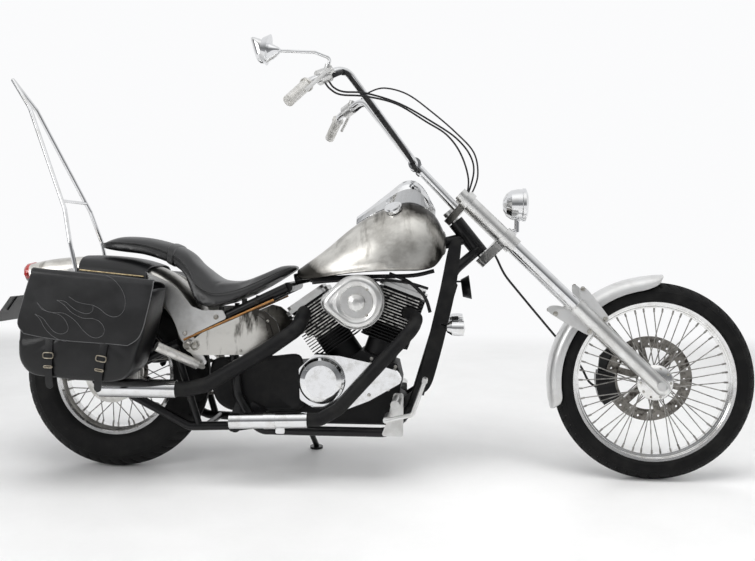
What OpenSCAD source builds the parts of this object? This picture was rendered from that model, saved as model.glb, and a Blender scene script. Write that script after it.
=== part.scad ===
/* [Stance] */
// Distance between the two wheel axles
wheelbase = 1850; // [1840:5:1890]
// Angle that the machine leans to its left on the side stand
lean = 5; // [4:0.5:7]

/* [Wheels] */
// Outer radius of the front tyre
front_tyre_radius = 333; // [329:1:336]
// Width of the front tyre
front_tyre_width = 86; // [80:1:90]
// Radius over the front rim's flanges
front_rim_radius = 277; // [272:1:282]
// Outer radius of the rear tyre
rear_tyre_radius = 327; // [320:1:330]
// Width of the rear tyre
rear_tyre_width = 138; // [126:1:142]
// Radius over the rear rim's flanges
rear_rim_radius = 217; // [212:1:222]
// Wall of both tyres
tyre_wall = 12; // [9:1:14]
// Radius of a spoke
spoke_radius = 1.8; // [1.4:0.1:2.2]
// Spokes in the front wheel
front_spokes = 48; // [36:12:48]
// Spokes in the rear wheel
rear_spokes = 40; // [32:8:40]
// Radius of both axles
axle_radius = 9; // [8:0.5:10]
// Radius of the front hub's spoke flanges
front_flange_radius = 38; // [35:1:42]
// Radius of the rear hub's drum
drum_radius = 92; // [86:1:96]
// Outer radius of the front brake disc
disc_radius = 146; // [138:1:150]
// Inner radius of the front brake disc's band
disc_band = 107; // [100:1:112]
// Thickness of the front brake disc
disc_thickness = 5; // [4:0.5:6]

/* [Fork] */
// Angle of the fork legs from the vertical
fork_rake = 46.4; // [45.4:0.2:47.4]
// Angle between the fork legs and the steering stem
yoke_rake = 7.4; // [6:0.2:8]
// Half of the distance between the fork legs
leg_half = 105; // [102:1:110]
// Radius of the inner fork tubes
stanchion_radius = 20.5; // [19:0.5:21.5]
// Radius of the fork sliders
slider_radius = 26; // [25:0.5:27.5]
// Top of the sliders, along the leg from the axle
slider_top = 377; // [360:1:390]
// Radius of the upper fork covers
cover_radius = 25; // [23:0.5:27]
// Lower yoke, along the leg from the axle to the middle of the plate
lower_yoke = 694; // [688:1:700]
// Upper yoke, along the leg from the axle to the middle of the plate
upper_yoke = 871; // [865:1:877]
// Thickness of the lower yoke
lower_yoke_thickness = 32; // [28:1:34]
// Thickness of the upper yoke
upper_yoke_thickness = 24; // [20:1:26]
// Distance from the legs back to the stem at the lower yoke
yoke_offset = 95; // [92:1:98]
// Radius of the steering stem
stem_radius = 14.9; // [13:0.1:16]
// Radius of the head tube
head_radius = 27; // [26:0.5:30]

/* [Handlebar] */
// Radius of the handlebar tube
bar_radius = 12.5; // [11:0.5:14]
// Radius of the handlebar's bends
bar_bend = 55; // [45:1:60]
// Radius of the grips
grip_radius = 18; // [17:0.5:20]
// Length of a grip
grip_length = 104; // [96:1:106]
// Half of the distance between the two risers
riser_half = 45; // [40:1:50]
// Radius of a riser
riser_radius = 14; // [12:0.5:16]

/* [Frame] */
// Radius of the cradle and seat tubes
frame_tube = 16; // [14:0.5:17]
// Radius of the backbone
backbone_radius = 20; // [18:0.5:21]
// Half of the distance between the cradle tubes
cradle_half = 108; // [106:1:110]
// Half of the distance between the seat rails
rail_half = 112; // [110:1:113]
// Radius of the swinging arm's tubes
arm_tube = 15; // [13:0.5:16]
// Half of the distance between the arms at the wheel
arm_half = 116; // [115:1:118]
// Thickness of the steel side plates
plate_thickness = 6; // [4:0.5:7]

/* [Engine] */
// Lean of the rear cylinder to the back
rear_bank = 35; // [34:0.5:36]
// Lean of the front cylinder to the front
front_bank = 20; // [19:0.5:21]
// Half of the length of a cooling fin
fin_half_length = 84; // [78:1:86]
// Half of the depth of a cooling fin
fin_half_depth = 80; // [74:1:82]
// Thickness of a cooling fin
fin_thickness = 3.6; // [3:0.2:4.4]
// Distance from one fin to the next
fin_pitch = 10.4; // [9.6:0.2:11]
// Fins on each cylinder and head
fin_count = 17; // [15:1:17]
// Radius of the clutch cover
clutch_radius = 79; // [72:1:82]
// Radius of the air cleaner
cleaner_radius = 90; // [82:1:92]

/* [Exhaust] */
// Radius of the rear header pipe
rear_header_radius = 25; // [22:1:26]
// Radius of the front header pipe
front_header_radius = 22; // [20:1:24]
// Radius of the rear muffler
rear_muffler_radius = 31; // [28:1:33]
// Radius of the front muffler
front_muffler_radius = 26; // [25:1:29]
// Wall of the mufflers at their open ends
muffler_wall = 2; // [1.5:0.5:3]

/* [Bodywork] */
// Outer radius of the front fender round the axle
front_fender_radius = 355; // [352:1:362]
// Radius of the front fender's crown
front_fender_crown = 72; // [68:1:73]
// Half of the width of the rear fender
rear_fender_half = 92; // [88:1:93]
// Wall of the fuel tank
tank_wall = 3; // [2:0.5:4]
// Wall of both fenders
fender_wall = 2.5; // [2:0.5:4]
// Radius of the headlight
headlight_radius = 57; // [52:1:62]
// Radius of the sissy bar's rod
sissy_radius = 7.5; // [6:0.5:8]

/* [Luggage] */
// Depth of a saddlebag from its inner wall to its outer wall
bag_depth = 170; // [160:2:180]
// Thickness of the saddlebags' leather
leather = 5; // [4:0.5:6]

/* [Side stand] */
// Radius of the stand's leg
stand_radius = 10; // [9:0.5:12]
// Radius of the stand's foot
foot_radius = 24; // [20:1:28]

/* [Clearances] */
// Gap between pieces that seat on each other
seat_gap = 0.3; // [0.2:0.1:0.5]
// Gap round a part that turns on a shaft
running_gap = 0.05; // [0.04:0.01:0.1]

/* [Hidden] */
$fn = 64;

// Middle of the outline on the ground, so that the origin is under it
origin_x = 881.4;
origin_y = 106.2;
lift = 0.3;

// Wheels and steering, from the sizes above
front_z = front_tyre_radius;
rear_z = rear_tyre_radius;
leg_up = [-sin(fork_rake), 0, cos(fork_rake)];
leg_out = [cos(fork_rake), 0, sin(fork_rake)];
front_axle_at = [wheelbase, 0, front_z];
stem_at = front_axle_at + leg_up * lower_yoke - leg_out * yoke_offset;
stem_rake = fork_rake - yoke_rake;
stem_up = [-sin(stem_rake), 0, cos(stem_rake)];
yoke_gap = upper_yoke - lower_yoke;
upper_offset = yoke_offset - yoke_gap * tan(yoke_rake);
head_from = lower_yoke_thickness / 2 + head_radius * tan(yoke_rake) + 2;
head_to = yoke_gap / cos(yoke_rake) - upper_yoke_thickness / 2 - head_radius * tan(yoke_rake) - 2;
front_hub_half = 44;
disc_y = 57;
panel_y = -74;
chain_y = 86;
pivot_at = [440, 0, 165];
bag_y = 160;

// Bends stand a little proud of the straight tubes, which run into them
elbow_proud = 0.25;
elbow_lap = 1;

// Engine, from the crank's middle
crank = [884, 0, 299];
deck = 118;
fin_start = 172;
head_top = fin_start + fin_count * fin_pitch + 3;
case_right = -88;
case_left = 70;

function unit(v) = v / norm(v);
function flip(p) = [p[0], -p[1], p[2]];
function leg_point(x, y, z) = front_axle_at + leg_out * x + leg_up * z + [0, y, 0];
function bank_point(angle, across, along) =
    [crank[0] + along * sin(angle) + across * cos(angle),
     crank[2] + along * cos(angle) - across * sin(angle)];

// Angle that a path turns by at b, and the length that its bend takes from each side
function turn(a, b, c) = acos(min(1, unit(b - a) * unit(c - b)));
function trim(p, i, bend) = bend * tan(turn(p[i - 1], p[i], p[i + 1]) / 2);

// Points that round the corner b of an outline
function corner(a, b, c, r, k) =
    let (u = unit(a - b), w = unit(c - b), half = acos(u * w) / 2)
    let (mid = b + unit(u + w) * r / sin(half), s = b + u * r / tan(half) - mid)
    let (e = b + w * r / tan(half) - mid, sweep = 180 - 2 * half)
    [for (i = [0:k]) mid + (s * sin(sweep * (1 - i / k)) + e * sin(sweep * i / k)) / sin(sweep)];
function rounded(p, r, k = 5) =
    [for (i = [0:len(p) - 1])
        each corner(p[(i + len(p) - 1) % len(p)], p[i], p[(i + 1) % len(p)], r, k)];

// Smooth curve through a table's rows, with k steps from row to row
function row(t, i) = t[max(0, min(len(t) - 1, i))];
function blend(a, b, c, d, t) =
    (2 * b + (c - a) * t + (2 * a - 5 * b + 4 * c - d) * t * t
     + (3 * b - a - 3 * c + d) * t * t * t) / 2;
function smooth(t, k) =
    concat([for (i = [0:len(t) - 2]) for (j = [0:k - 1])
        blend(row(t, i - 1), row(t, i), row(t, i + 1), row(t, i + 2), j / k)], [t[len(t) - 1]]);

// Row of a grid at x, between its two neighbours
function at_x(g, x) = let (i = [for (k = [0:len(g) - 2]) if (g[k + 1][0] >= x) k][0])
    g[i] + (g[i + 1] - g[i]) * (x - g[i][0]) / (g[i + 1][0] - g[i][0]);

module parked() {
    translate([-origin_x, -origin_y, lift])
        rotate([-lean, 0, 0])
            children();
}

module both_sides() {
    children();
    mirror([0, 1, 0])
        children();
}

// Legs of the fork upright, with the axle at the origin
module on_fork() {
    translate(front_axle_at)
        rotate([0, -fork_rake, 0])
            children();
}

module on_stem() {
    translate(stem_at)
        rotate([0, -stem_rake, 0])
            children();
}

module on_bank(angle) {
    translate(crank)
        rotate([0, angle, 0])
            children();
}

// Turned shapes on an axle, with the profile's height to the left
module on_axle(x, z) {
    translate([x, 0, z])
        rotate([-90, 0, 0])
            children();
}

module rod(a, b, r) {
    v = b - a;
    translate(a)
        rotate([0, acos(v[2] / norm(v)), atan2(v[1], v[0])])
            cylinder(r = r, h = norm(v));
}

// Flat plate with an outline in x and z, from y to y + t
module plate(outline, y, t) {
    translate([0, y + t, 0])
        rotate([90, 0, 0])
            linear_extrude(height = t)
                polygon(outline);
}

module elbow(a, b, c, r, bend) {
    u = unit(b - a);
    w = unit(c - b);
    t = turn(a, b, c);
    inward = unit(w - (w * u) * u);
    mid = b - u * bend * tan(t / 2) + inward * bend;
    x = -inward;
    z = cross(x, u);
    multmatrix([[x[0], u[0], z[0], mid[0]], [x[1], u[1], z[1], mid[1]],
                [x[2], u[2], z[2], mid[2]], [0, 0, 0, 1]])
        rotate_extrude(angle = t)
            translate([bend, 0])
                circle(r = r + elbow_proud);
}

// Tube bent round each inner point of a path
module bent_tube(p, r, bend) {
    last = len(p) - 1;
    for (i = [0:last - 1]) {
        along = unit(p[i + 1] - p[i]);
        from = i == 0 ? p[0] : p[i] + along * (trim(p, i, bend) - elbow_lap);
        to = i == last - 1 ? p[last] : p[i + 1] - along * (trim(p, i + 1, bend) - elbow_lap);
        rod(from, to, r);
    }
    for (i = [1:last - 1])
        elbow(p[i - 1], p[i], p[i + 1], r, bend);
}

// Solid between two grids of points, the upper and the lower skin
module slab(tops, bots) {
    s = len(tops);
    n = len(tops[0]);
    k = s * n;
    quads = concat(
        [for (i = [0:s - 2]) for (j = [0:n - 2])
            [i * n + j, i * n + j + 1, i * n + n + j + 1, i * n + n + j]],
        [for (i = [0:s - 2]) for (j = [0:n - 2])
            [k + i * n + j, k + i * n + n + j, k + i * n + n + j + 1, k + i * n + j + 1]],
        [for (i = [0:s - 2]) [i * n, i * n + n, k + i * n + n, k + i * n]],
        [for (i = [0:s - 2]) let (e = i * n + n - 1) [e, k + e, k + e + n, e + n]],
        [for (j = [0:n - 2]) [j, k + j, k + j + 1, j + 1]],
        [for (j = [0:n - 2]) let (e = k - n + j) [e, e + 1, k + e + 1, k + e]]);
    polyhedron(
        points = concat([for (r = tops) each r], [for (r = bots) each r]),
        faces = [for (q = quads) each [[q[0], q[1], q[2]], [q[0], q[2], q[3]]]]);
}

// Frame: head tube, backbone, cradle, seat rails, pivot plates and engine mounts
backbone_front = stem_at + stem_up * (head_from + 70);
backbone_rear = [628, 0, 664];
rail_front = [620, rail_half, 641];
rail_rear = [290, rail_half, 484];
cradle = [stem_at + stem_up * (head_from + 16) + [0, 16, 0], [1176, 68, 700], [1040, 72, 240],
    [965, cradle_half, 158], [520, cradle_half, 158], [452, cradle_half, 275],
    [425, rail_half, 548]];
front_mount = [1022, 0, 246];
rear_mount = [532, 0, 212];

function rail_z(x) = rail_rear[2] + (x - rail_rear[0]) * (rail_front[2] - rail_rear[2])
    / (rail_front[0] - rail_rear[0]);

module frame() {
    color("#141416")
        parked()
            difference() {
                union() {
                    rod(stem_at + stem_up * head_from, stem_at + stem_up * head_to, head_radius);
                    rod(backbone_front, backbone_rear, backbone_radius);
                    rod([620, -rail_half, 641], [620, rail_half, 641], frame_tube + 1);
                    both_sides() {
                        bent_tube(cradle, frame_tube, 60);
                        rod(rail_front, rail_rear, frame_tube + 0.5);
                        plate(rounded([[528, 165], [462, 290], [424, 200], [420, 148]], 10),
                            cradle_half - 4, 9);
                        plate(rounded([[1058, 304], [1008, 270], [1004, 228], [1042, 222]], 8), 62, 8);
                        plate(rounded([[490, 240], [492, 190], [548, 194], [548, 228], [500, 252]], 6),
                            cradle_half - 10, 8);
                    }
                    for (x = [396, 474], y = [-rail_half, rail_half])
                        rod([x, y, rail_z(x)], [x, y, seat_under(x - 9, y) - 2 * seat_gap], 9);
                    rod([1166, -68, 676], [1166, 68, 676], 8);
                    rod([965, -cradle_half, 162], [965, cradle_half, 162], frame_tube - 3);
                    rod([560, -cradle_half, 158], [560, cradle_half, 158], frame_tube - 3);
                    rod(stand_pivot - stand_pin * 38, stand_pivot - stand_pin * 12.5, 13);
                    rod(stand_pivot - stand_pin * 30, stand_pivot + stand_pin * 15, pin_radius);
                    rod(stand_pivot + stand_pin * 12.5, stand_pivot + stand_pin * 17, 10);
                }
                rod(stem_at, stem_at + stem_up * (head_to + 10), stem_radius + running_gap);
                rod(pivot_at - [0, 150, 0], pivot_at + [0, 150, 0], 10);
            }
}

// Swinging arm: lower and upper tubes, braces, pivot tube and axle plates
module swing_arm() {
    color("#18181a")
        parked()
            difference() {
                union() {
                    both_sides() {
                        bent_tube([[18, arm_half, 312], [93, arm_half, 266], [286, arm_half - 2, 166],
                            [440, 80, 165]], arm_tube, 60);
                        rod([18, arm_half, 338], [248, arm_half, 449], arm_tube);
                        rod([236, arm_half, 440], [318, 109, 168], arm_tube - 3);
                        plate(rounded([[-52, 305], [-52, 349], [30, 360], [60, 340], [60, 290],
                            [20, 294]], 10), arm_half - 5, 10);
                    }
                    rod(pivot_at - [0, cradle_half - 5, 0], pivot_at + [0, cradle_half - 5, 0], 20);
                    rod([340, -104, 167], [340, 104, 167], arm_tube - 4);
                }
                rod([0, -150, rear_z], [0, 150, rear_z], axle_radius + running_gap);
            }
}

// Rear axle with its nuts, brake panel, brake arm and torque rod
module rear_brake() {
    color("#8d8f92")
        parked()
            union() {
                rod([0, -arm_half - 22, rear_z], [0, arm_half + 22, rear_z], axle_radius);
                both_sides()
                    rod([0, arm_half + 5 + seat_gap, rear_z], [0, arm_half + 17, rear_z], 15);
                on_axle(0, rear_z)
                    rotate_extrude()
                        polygon([[0, panel_y - 26], [30, panel_y - 26], [36, panel_y - 16],
                            [drum_radius - 12, panel_y - 12], [drum_radius, panel_y - 6],
                            [drum_radius, panel_y], [0, panel_y]]);
                rod([0, panel_y - 20, rear_z], [0, -arm_half + 5 + seat_gap, rear_z], 16);
                rod([0, 66, rear_z], [0, arm_half - 5 - seat_gap, rear_z], 15);
                plate(rounded([[52, rear_z - 70], [66, rear_z - 62], [40, rear_z + 8],
                    [26, rear_z + 2]], 5), panel_y - 24, 6);
                rod([38, panel_y - 24, rear_z - 2], [38, panel_y - 4, rear_z - 2], 8);
            }
}

module engine_cases() {
    color("#2b2c2e")
        parked()
            union() {
                plate(concat([bank_point(-rear_bank, -70, deck),
                    bank_point((front_bank - rear_bank) / 2, 0, deck / cos((rear_bank + front_bank) / 2)),
                    bank_point(front_bank, 70, deck)],
                    [[1004, 330], [994, 262], [935, 186], [650, 184], [560, 205], [516, 262],
                     [530, 345], [620, 378], [700, 384]]), case_right, case_left - case_right);
                rod(front_mount - [0, 62 - seat_gap, 0], front_mount + [0, 62 - seat_gap, 0], 16);
                plate(rounded([[970, 214], [1034, 234], [1034, 258], [980, 296]], 6), -50, 100);
                rod(rear_mount - [0, cradle_half - 10 - seat_gap, 0],
                    rear_mount + [0, cradle_half - 10 - seat_gap, 0], 13);
            }
}

// Right primary cover with its clutch dome, left alternator cover and chain guard
module engine_covers() {
    color("#d4d6d8")
        parked()
            union() {
                plate(rounded([[668, 268], [664, 372], [716, 420], [800, 416], [915, 392], [990, 370],
                    [1010, 332], [900, 268], [820, 236], [716, 240]], 14), case_right - 50, 50 - seat_gap);
                on_axle(742, 334)
                    rotate_extrude()
                        polygon([[0, case_right - 82], [clutch_radius - 26, case_right - 82],
                            [clutch_radius - 10, case_right - 78], [clutch_radius - 2, case_right - 66],
                            [clutch_radius, case_right - 50], [0, case_right - 40]]);
                on_axle(crank[0], crank[2])
                    rotate_extrude()
                        polygon([[0, case_left + seat_gap], [96, case_left + seat_gap],
                            [96, case_left + 40], [84, case_left + 62], [60, case_left + 70],
                            [0, case_left + 72]]);
                plate(rounded([[522, 262], [514, 336], [560, 356], [640, 350], [690, 300], [646, 240],
                    [566, 240]], 14), chain_y + 16, 22);
                for (p = [[648, 262], [656, 330]])
                    rod([p[0], case_left + seat_gap, p[1]], [p[0], chain_y + 20, p[1]], 9);
            }
}

// Both barrels and heads, each a core with a stack of fins
module cylinders() {
    color("#1c1d1f")
        parked()
            for (angle = [-rear_bank, front_bank])
                on_bank(angle)
                    union() {
                        translate([0, 0, deck + seat_gap])
                            cylinder(r = 58, h = fin_start - deck + 90);
                        translate([-66, -62, fin_start + 80])
                            cube([132, 124, head_top - fin_start - 80]);
                        for (i = [0:fin_count - 1])
                            translate([0, 0, fin_start + i * fin_pitch])
                                linear_extrude(height = fin_thickness)
                                    polygon(rounded([[-fin_half_length, -fin_half_depth],
                                        [fin_half_length, -fin_half_depth],
                                        [fin_half_length, fin_half_depth],
                                        [-fin_half_length, fin_half_depth]], 22));
                    }
}

module rocker_covers() {
    color("#b9bcbf")
        parked()
            for (angle = [-rear_bank, front_bank])
                on_bank(angle)
                    for (step = [[0, 0, 14], [10, 14, 12]])
                        translate([0, 0, head_top + step[1]])
                            linear_extrude(height = step[2])
                                polygon(rounded([[-fin_half_length + step[0], -72 + step[0]],
                                    [fin_half_length - step[0], -72 + step[0]],
                                    [fin_half_length - step[0], 72 - step[0]],
                                    [-fin_half_length + step[0], 72 - step[0]]], 20));
}

// Teardrop air cleaner on the right, with its inlet neck between the cylinders
cleaner_at = [859, 0, 597];
cleaner_back = -112;
module air_cleaner() {
    color("#dfe1e3")
        parked()
            difference() {
                union() {
                    translate([cleaner_at[0], cleaner_back, cleaner_at[2]])
                        rotate([90, 0, 0]) {
                            linear_extrude(height = 52)
                                union() {
                                    circle(r = cleaner_radius);
                                    polygon([[0, cleaner_radius], [-60, 62], [-112, 22], [-120, 0],
                                        [-112, -22], [-60, -62], [0, -cleaner_radius]]);
                                }
                            rotate_extrude()
                                polygon([[0, 50], [cleaner_radius - 3, 50], [cleaner_radius - 10, 62],
                                    [cleaner_radius - 24, 66], [cleaner_radius - 34, 62],
                                    [cleaner_radius - 38, 58], [30, 58], [26, 66], [12, 72], [0, 73]]);
                        }
                    rod([866, -40, 560], [866, cleaner_back, 590], 30);
                    rod([866, -52, 560], [866, 60, 540], 34);
                }
                for (angle = [-rear_bank, front_bank])
                    on_bank(angle)
                        translate([-fin_half_length - seat_gap, -100, fin_start])
                            cube([2 * fin_half_length + 2 * seat_gap, 200, 240]);
            }
}

// Two header pipes down the right side
rear_header = [[672, -60, 560], [664, -165, 508], [566, -190, 438], [366, -190, 320],
    [300, -190, 304], [242, -190, 304]];
front_header = [[1016, -60, 562], [1056, -150, 545], [1046, -200, 516], [806, -200, 250],
    [744, -200, 213.5], [692, -200, 211.7]];
module exhaust_headers() {
    color("#1a1a1b")
        parked()
            difference() {
                union() {
                    bent_tube(rear_header, rear_header_radius, 46);
                    bent_tube(front_header, front_header_radius, 42);
                }
                translate([300, -fin_half_depth - seat_gap, 300])
                    cube([900, 300, 500]);
            }
}

rear_muffler = [[264, -190, 304], [4, -190, 304]];
front_muffler = [[704, -200, 212], [446, -200, 203]];
module mufflers() {
    color("#e4e6e8")
        parked() {
            difference() {
                union() {
                    rod(rear_muffler[0], rear_muffler[1], rear_muffler_radius);
                    rod([246, -200, 314], [246, -135, 322], 7);
                }
                rod([230, -190, 304], [-20, -190, 304], rear_muffler_radius - muffler_wall);
                rod([300, -190, 304], [236, -190, 304], rear_header_radius + seat_gap);
                translate([-30, -240, 290])
                    rotate([0, -62, 0])
                        translate([-70, 0, 0])
                            cube([70, 100, 120]);
            }
            difference() {
                union() {
                    rod(front_muffler[0], front_muffler[1], front_muffler_radius);
                    rod([600, -200, 208], [560, -200, 207], front_muffler_radius + 2);
                    plate(rounded([[584, 150], [616, 150], [612, 222], [588, 222]], 6),
                        -cradle_half - frame_tube - seat_gap - 6, 6);
                    rod([600, -196, 206], [600, -cradle_half - frame_tube - 3, 206], 9);
                }
                rod([560, -200, 207], [430, -200, 203], front_muffler_radius - muffler_wall);
                rod([720, -200, 212.5], [690, -200, 211.5], front_header_radius + seat_gap);
            }
        }
}

// Radiator core between the downtubes, with a louvred grille in front of them
down_tilt = atan2(cradle[1][0] - cradle[2][0], cradle[1][2] - cradle[2][2]);
core_half = cradle[1][1] - frame_tube - 2;
module radiator() {
    color("#17181a")
        parked()
            translate([1055, 0, 292])
                rotate([0, down_tilt, 0])
                    difference() {
                        union() {
                            translate([-14, -core_half, 0])
                                cube([14 + frame_tube + 2, 2 * core_half, 380]);
                            translate([frame_tube + 1, -84, -4])
                                cube([10, 168, 388]);
                        }
                        for (i = [0:11])
                            translate([frame_tube + 5, -74, 14 + i * 30.5])
                                cube([20, 148, 22]);
                    }
}

// Fuel tank: rows of x, bottom, top and half width
tank_rows = [[644, 672, 702, 44], [672, 666, 722, 66], [740, 676, 772, 100], [829, 690, 846, 134],
    [918, 698, 903, 156], [1010, 701, 936, 164], [1066, 703, 924, 156], [1112, 716, 886, 128],
    [1140, 752, 836, 84]];
tunnel_half = backbone_radius + 7;
function backbone_z(x) = backbone_rear[2] + (x - backbone_rear[0])
    * (backbone_front[2] - backbone_rear[2]) / (backbone_front[0] - backbone_rear[0]);
function tank_top(r, y) = r[1] + 3 + (r[2] - r[1] - 3) * pow(max(0, 1 - pow(abs(y) / r[3], 2.3)), 1 / 2.3);
function tank_bottom(r, y, w) = abs(y) < tunnel_half + w
    ? max(r[1], min(r[2] - 6, backbone_z(r[0]) + backbone_radius + 7 + w)) : r[1];
// Steps across the tank, from the right edge to the left, with a pair at each tunnel wall
tank_steps = [-1, -0.985, -0.95, -0.88, -0.78, -0.64, -0.48, -0.34];
function tank_across(r, h) = concat([for (t = tank_steps) min(-h - 0.2, t * r[3])],
    [-h, -h + 0.4, -16, -6, 6, 16, h - 0.4, h],
    [for (i = [7:-1:0]) max(h + 0.2, -tank_steps[i] * r[3])]);
tank_grid = smooth(tank_rows, 3);

// Rows of the space inside the tank's walls
tank_space = [for (x = [724:40:1124]) at_x(tank_grid, x) + [0, tank_wall, -tank_wall, -tank_wall]];

module tank_solid(grid, w) {
    slab([for (r = grid) [for (y = tank_across(r, tunnel_half + w)) [r[0], y, tank_top(r, y)]]],
         [for (r = grid) [for (y = tank_across(r, tunnel_half + w)) [r[0], y, tank_bottom(r, y, w)]]]);
}

module fuel_tank() {
    color("#9a9c9e")
        parked()
            difference() {
                tank_solid(tank_grid, 0);
                tank_solid(tank_space, tank_wall);
            }
}

// Console on the tank with the speedometer pod: rows of x, crest and half width
console_rows = [[842, 880, 18], [890, 915, 40], [950, 962, 52], [1000, 1000, 56], [1040, 1004, 52],
    [1075, 975, 44], [1112, 908, 20]];
console_grid = smooth(console_rows, 3);
function tank_skin(x, y) = tank_top(at_x(tank_grid, x), y);
function console_base(x, y) = tank_skin(x, y) + 1;
// Filler cap square to the tank's skin
cap_at = [975, -84, tank_skin(975, -84)];
cap_out = unit(cross([10, 0, tank_skin(980, -84) - tank_skin(970, -84)],
    [0, 10, tank_skin(975, -79) - tank_skin(975, -89)]));
module tank_console() {
    color("#e2e4e6")
        parked() {
            slab([for (c = console_grid) [for (t = [-1:0.2:1]) let (y = t * c[2])
                    [c[0], y, console_base(c[0], y) + 2
                        + max(2, c[1] - at_x(tank_grid, c[0])[2]) * sqrt(max(0, 1 - t * t))]]],
                 [for (c = console_grid) [for (t = [-1:0.2:1]) let (y = t * c[2])
                    [c[0], y, console_base(c[0], y)]]]);
            rod(cap_at + cap_out * seat_gap, cap_at + cap_out * 12, 30);
            rod(cap_at + cap_out * 11, cap_at + cap_out * 16, 24);
        }
}

// Two-step saddle: rows of x, bottom, top and half width
seat_rows = [[-46, 768, 786, 52], [-20, 762, 800, 76], [30, 755, 812, 92], [118, 744, 806, 98],
    [205, 716, 782, 102], [258, 682, 752, 108], [286, 640, 722, 122], [312, 584, 700, 140],
    [370, 569, 660, 152], [450, 594, 656, 148], [520, 628, 680, 122], [590, 668, 710, 84],
    [634, 695, 715, 46]];
seat_grid = smooth(seat_rows, 2);
function seat_under(x, y) = let (r = at_x(seat_grid, x)) r[1] + 8 * pow(abs(y) / r[3], 6);
seat_steps = [-1, -0.97, -0.9, -0.78, -0.6, -0.35, 0, 0.35, 0.6, 0.78, 0.9, 0.97, 1];
module seat() {
    color("#121213")
        parked()
            slab([for (r = seat_grid) [for (t = seat_steps)
                    [r[0], t * r[3], r[1] + 12 + (r[2] - r[1] - 12) * pow(1 - pow(abs(t), 3), 1 / 3)]]],
                 [for (r = seat_grid) [for (t = seat_steps)
                    [r[0], t * r[3], r[1] + 8 * pow(abs(t), 6)]]]);
}

cover_y = rail_half + frame_tube + plate_thickness + 2;
cover_outline = [[272, 434], [308, 412], [502, 416], [604, 478], [590, 530], [552, 560], [520, 568],
    [334, 486]];
module side_covers() {
    color("#8e9092")
        parked()
            both_sides()
                union() {
                    plate(rounded(cover_outline, 12), cover_y, 9);
                    plate(rounded([[300, 436], [322, 424], [494, 430], [578, 484], [566, 520],
                        [528, 548], [350, 476]], 10), cover_y + 8, 6);
                    rod([520, rail_half + frame_tube + 0.5 + seat_gap, rail_z(520)],
                        [520, cover_y + 1, rail_z(520)], 7);
                    rod([436, cradle_half + frame_tube + 3, 440], [436, cover_y + 1, 440], 7);
                }
}

// Struts that carry the rear fender, with bosses to the fender's sides
module fender_struts() {
    color("#d0d2d4")
        parked()
            both_sides()
                union() {
                    plate(rounded([[418, 537], [405, 564], [335, 562], [300, 574], [266, 616], [228, 652],
                        [140, 690], [0, 704], [-128, 700], [-140, 676], [0, 676], [120, 660],
                        [180, 628], [232, 540], [262, 462], [330, 372], [352, 384], [300, 480]], 9),
                        rail_half + frame_tube + 0.5 + seat_gap, plate_thickness);
                    for (p = [[-90, 688], [60, 686], [204, 630]])
                        rod([p[0], rear_fender_half + seat_gap, p[1]], [p[0], 130, p[1]], 9);
                }
}

// Rear fender: rows of x and height along its crest
fender_rows = [[334, 470], [320, 530], [288, 592], [238, 648], [170, 694], [80, 724], [-30, 737],
    [-140, 738], [-230, 729], [-296, 715]];
fender_grid = smooth(fender_rows, 2);
// Steps across: share of the half width and drop below the crest
fender_steps = [[-1, 92], [-1, 44], [-0.95, 24], [-0.82, 10], [-0.55, 3], [0, 0], [0.55, 3],
    [0.82, 10], [0.95, 24], [1, 44], [1, 92]];
function along(g, i) = unit(row(g, i + 1) - row(g, i - 1));
function fender_ring(i, wall) = let (d = along(fender_grid, i), q = fender_grid[i])
    [for (s = fender_steps) let (drop = s[1] + (s[1] < 80 ? wall : 0))
        [q[0] - d[1] * drop, s[0] * (rear_fender_half - wall), q[1] + d[0] * drop]];
module rear_fender() {
    color("#97999b")
        parked()
            slab([for (i = [len(fender_grid) - 1:-1:0]) fender_ring(i, 0)],
                 [for (i = [len(fender_grid) - 1:-1:0]) fender_ring(i, fender_wall)]);
}

// Sissy bar: two legs on the struts that meet in a tall point
sissy_y = rail_half + frame_tube + 0.5 + 2 * seat_gap + plate_thickness;
module sissy_bar() {
    color("#e0e2e4")
        parked()
            union() {
                both_sides()
                    bent_tube([[-96, sissy_y + sissy_radius, 680], [-120, sissy_y + sissy_radius, 790],
                        [-150, 112, 900], [-312, 26, 1258], [-385, 0, 1360]], sissy_radius, 40);
                translate([-385, 0, 1360])
                    sphere(r = sissy_radius);
                rod([-164, -105, 930], [-164, 105, 930], sissy_radius - 2);
            }
}

module tail_lamp() {
    color("#a01818")
        parked()
            union() {
                translate([-290.5, 0, 684])
                    rotate([0, -102, 0])
                        rotate_extrude()
                            polygon([[0, 0], [30, 0], [36, 8], [36, 34], [30, 44], [16, 50], [0, 52]]);
                rod([-312, 0, 672], [-344, 0, 600], 7);
                rod([-322, -45, 676], [-322, 45, 676], 6);
            }
}

// Blank number plate on its bracket, with two holes for the plate's screws
plate_hole_half = 60;
module number_plate() {
    color("#d8d8d2")
        parked()
            translate([-352, 0, 598])
                rotate([0, 36, 0])
                    difference() {
                        union() {
                            translate([-3, -95, -112])
                                cube([3, 190, 112]);
                            translate([0, -50, -60])
                                cube([4, 100, 60]);
                        }
                        for (y = [-plate_hole_half, plate_hole_half])
                            translate([-10, y, -20])
                                rotate([0, 90, 0])
                                    cylinder(r = 3.25, h = 20);
                    }
}

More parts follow.
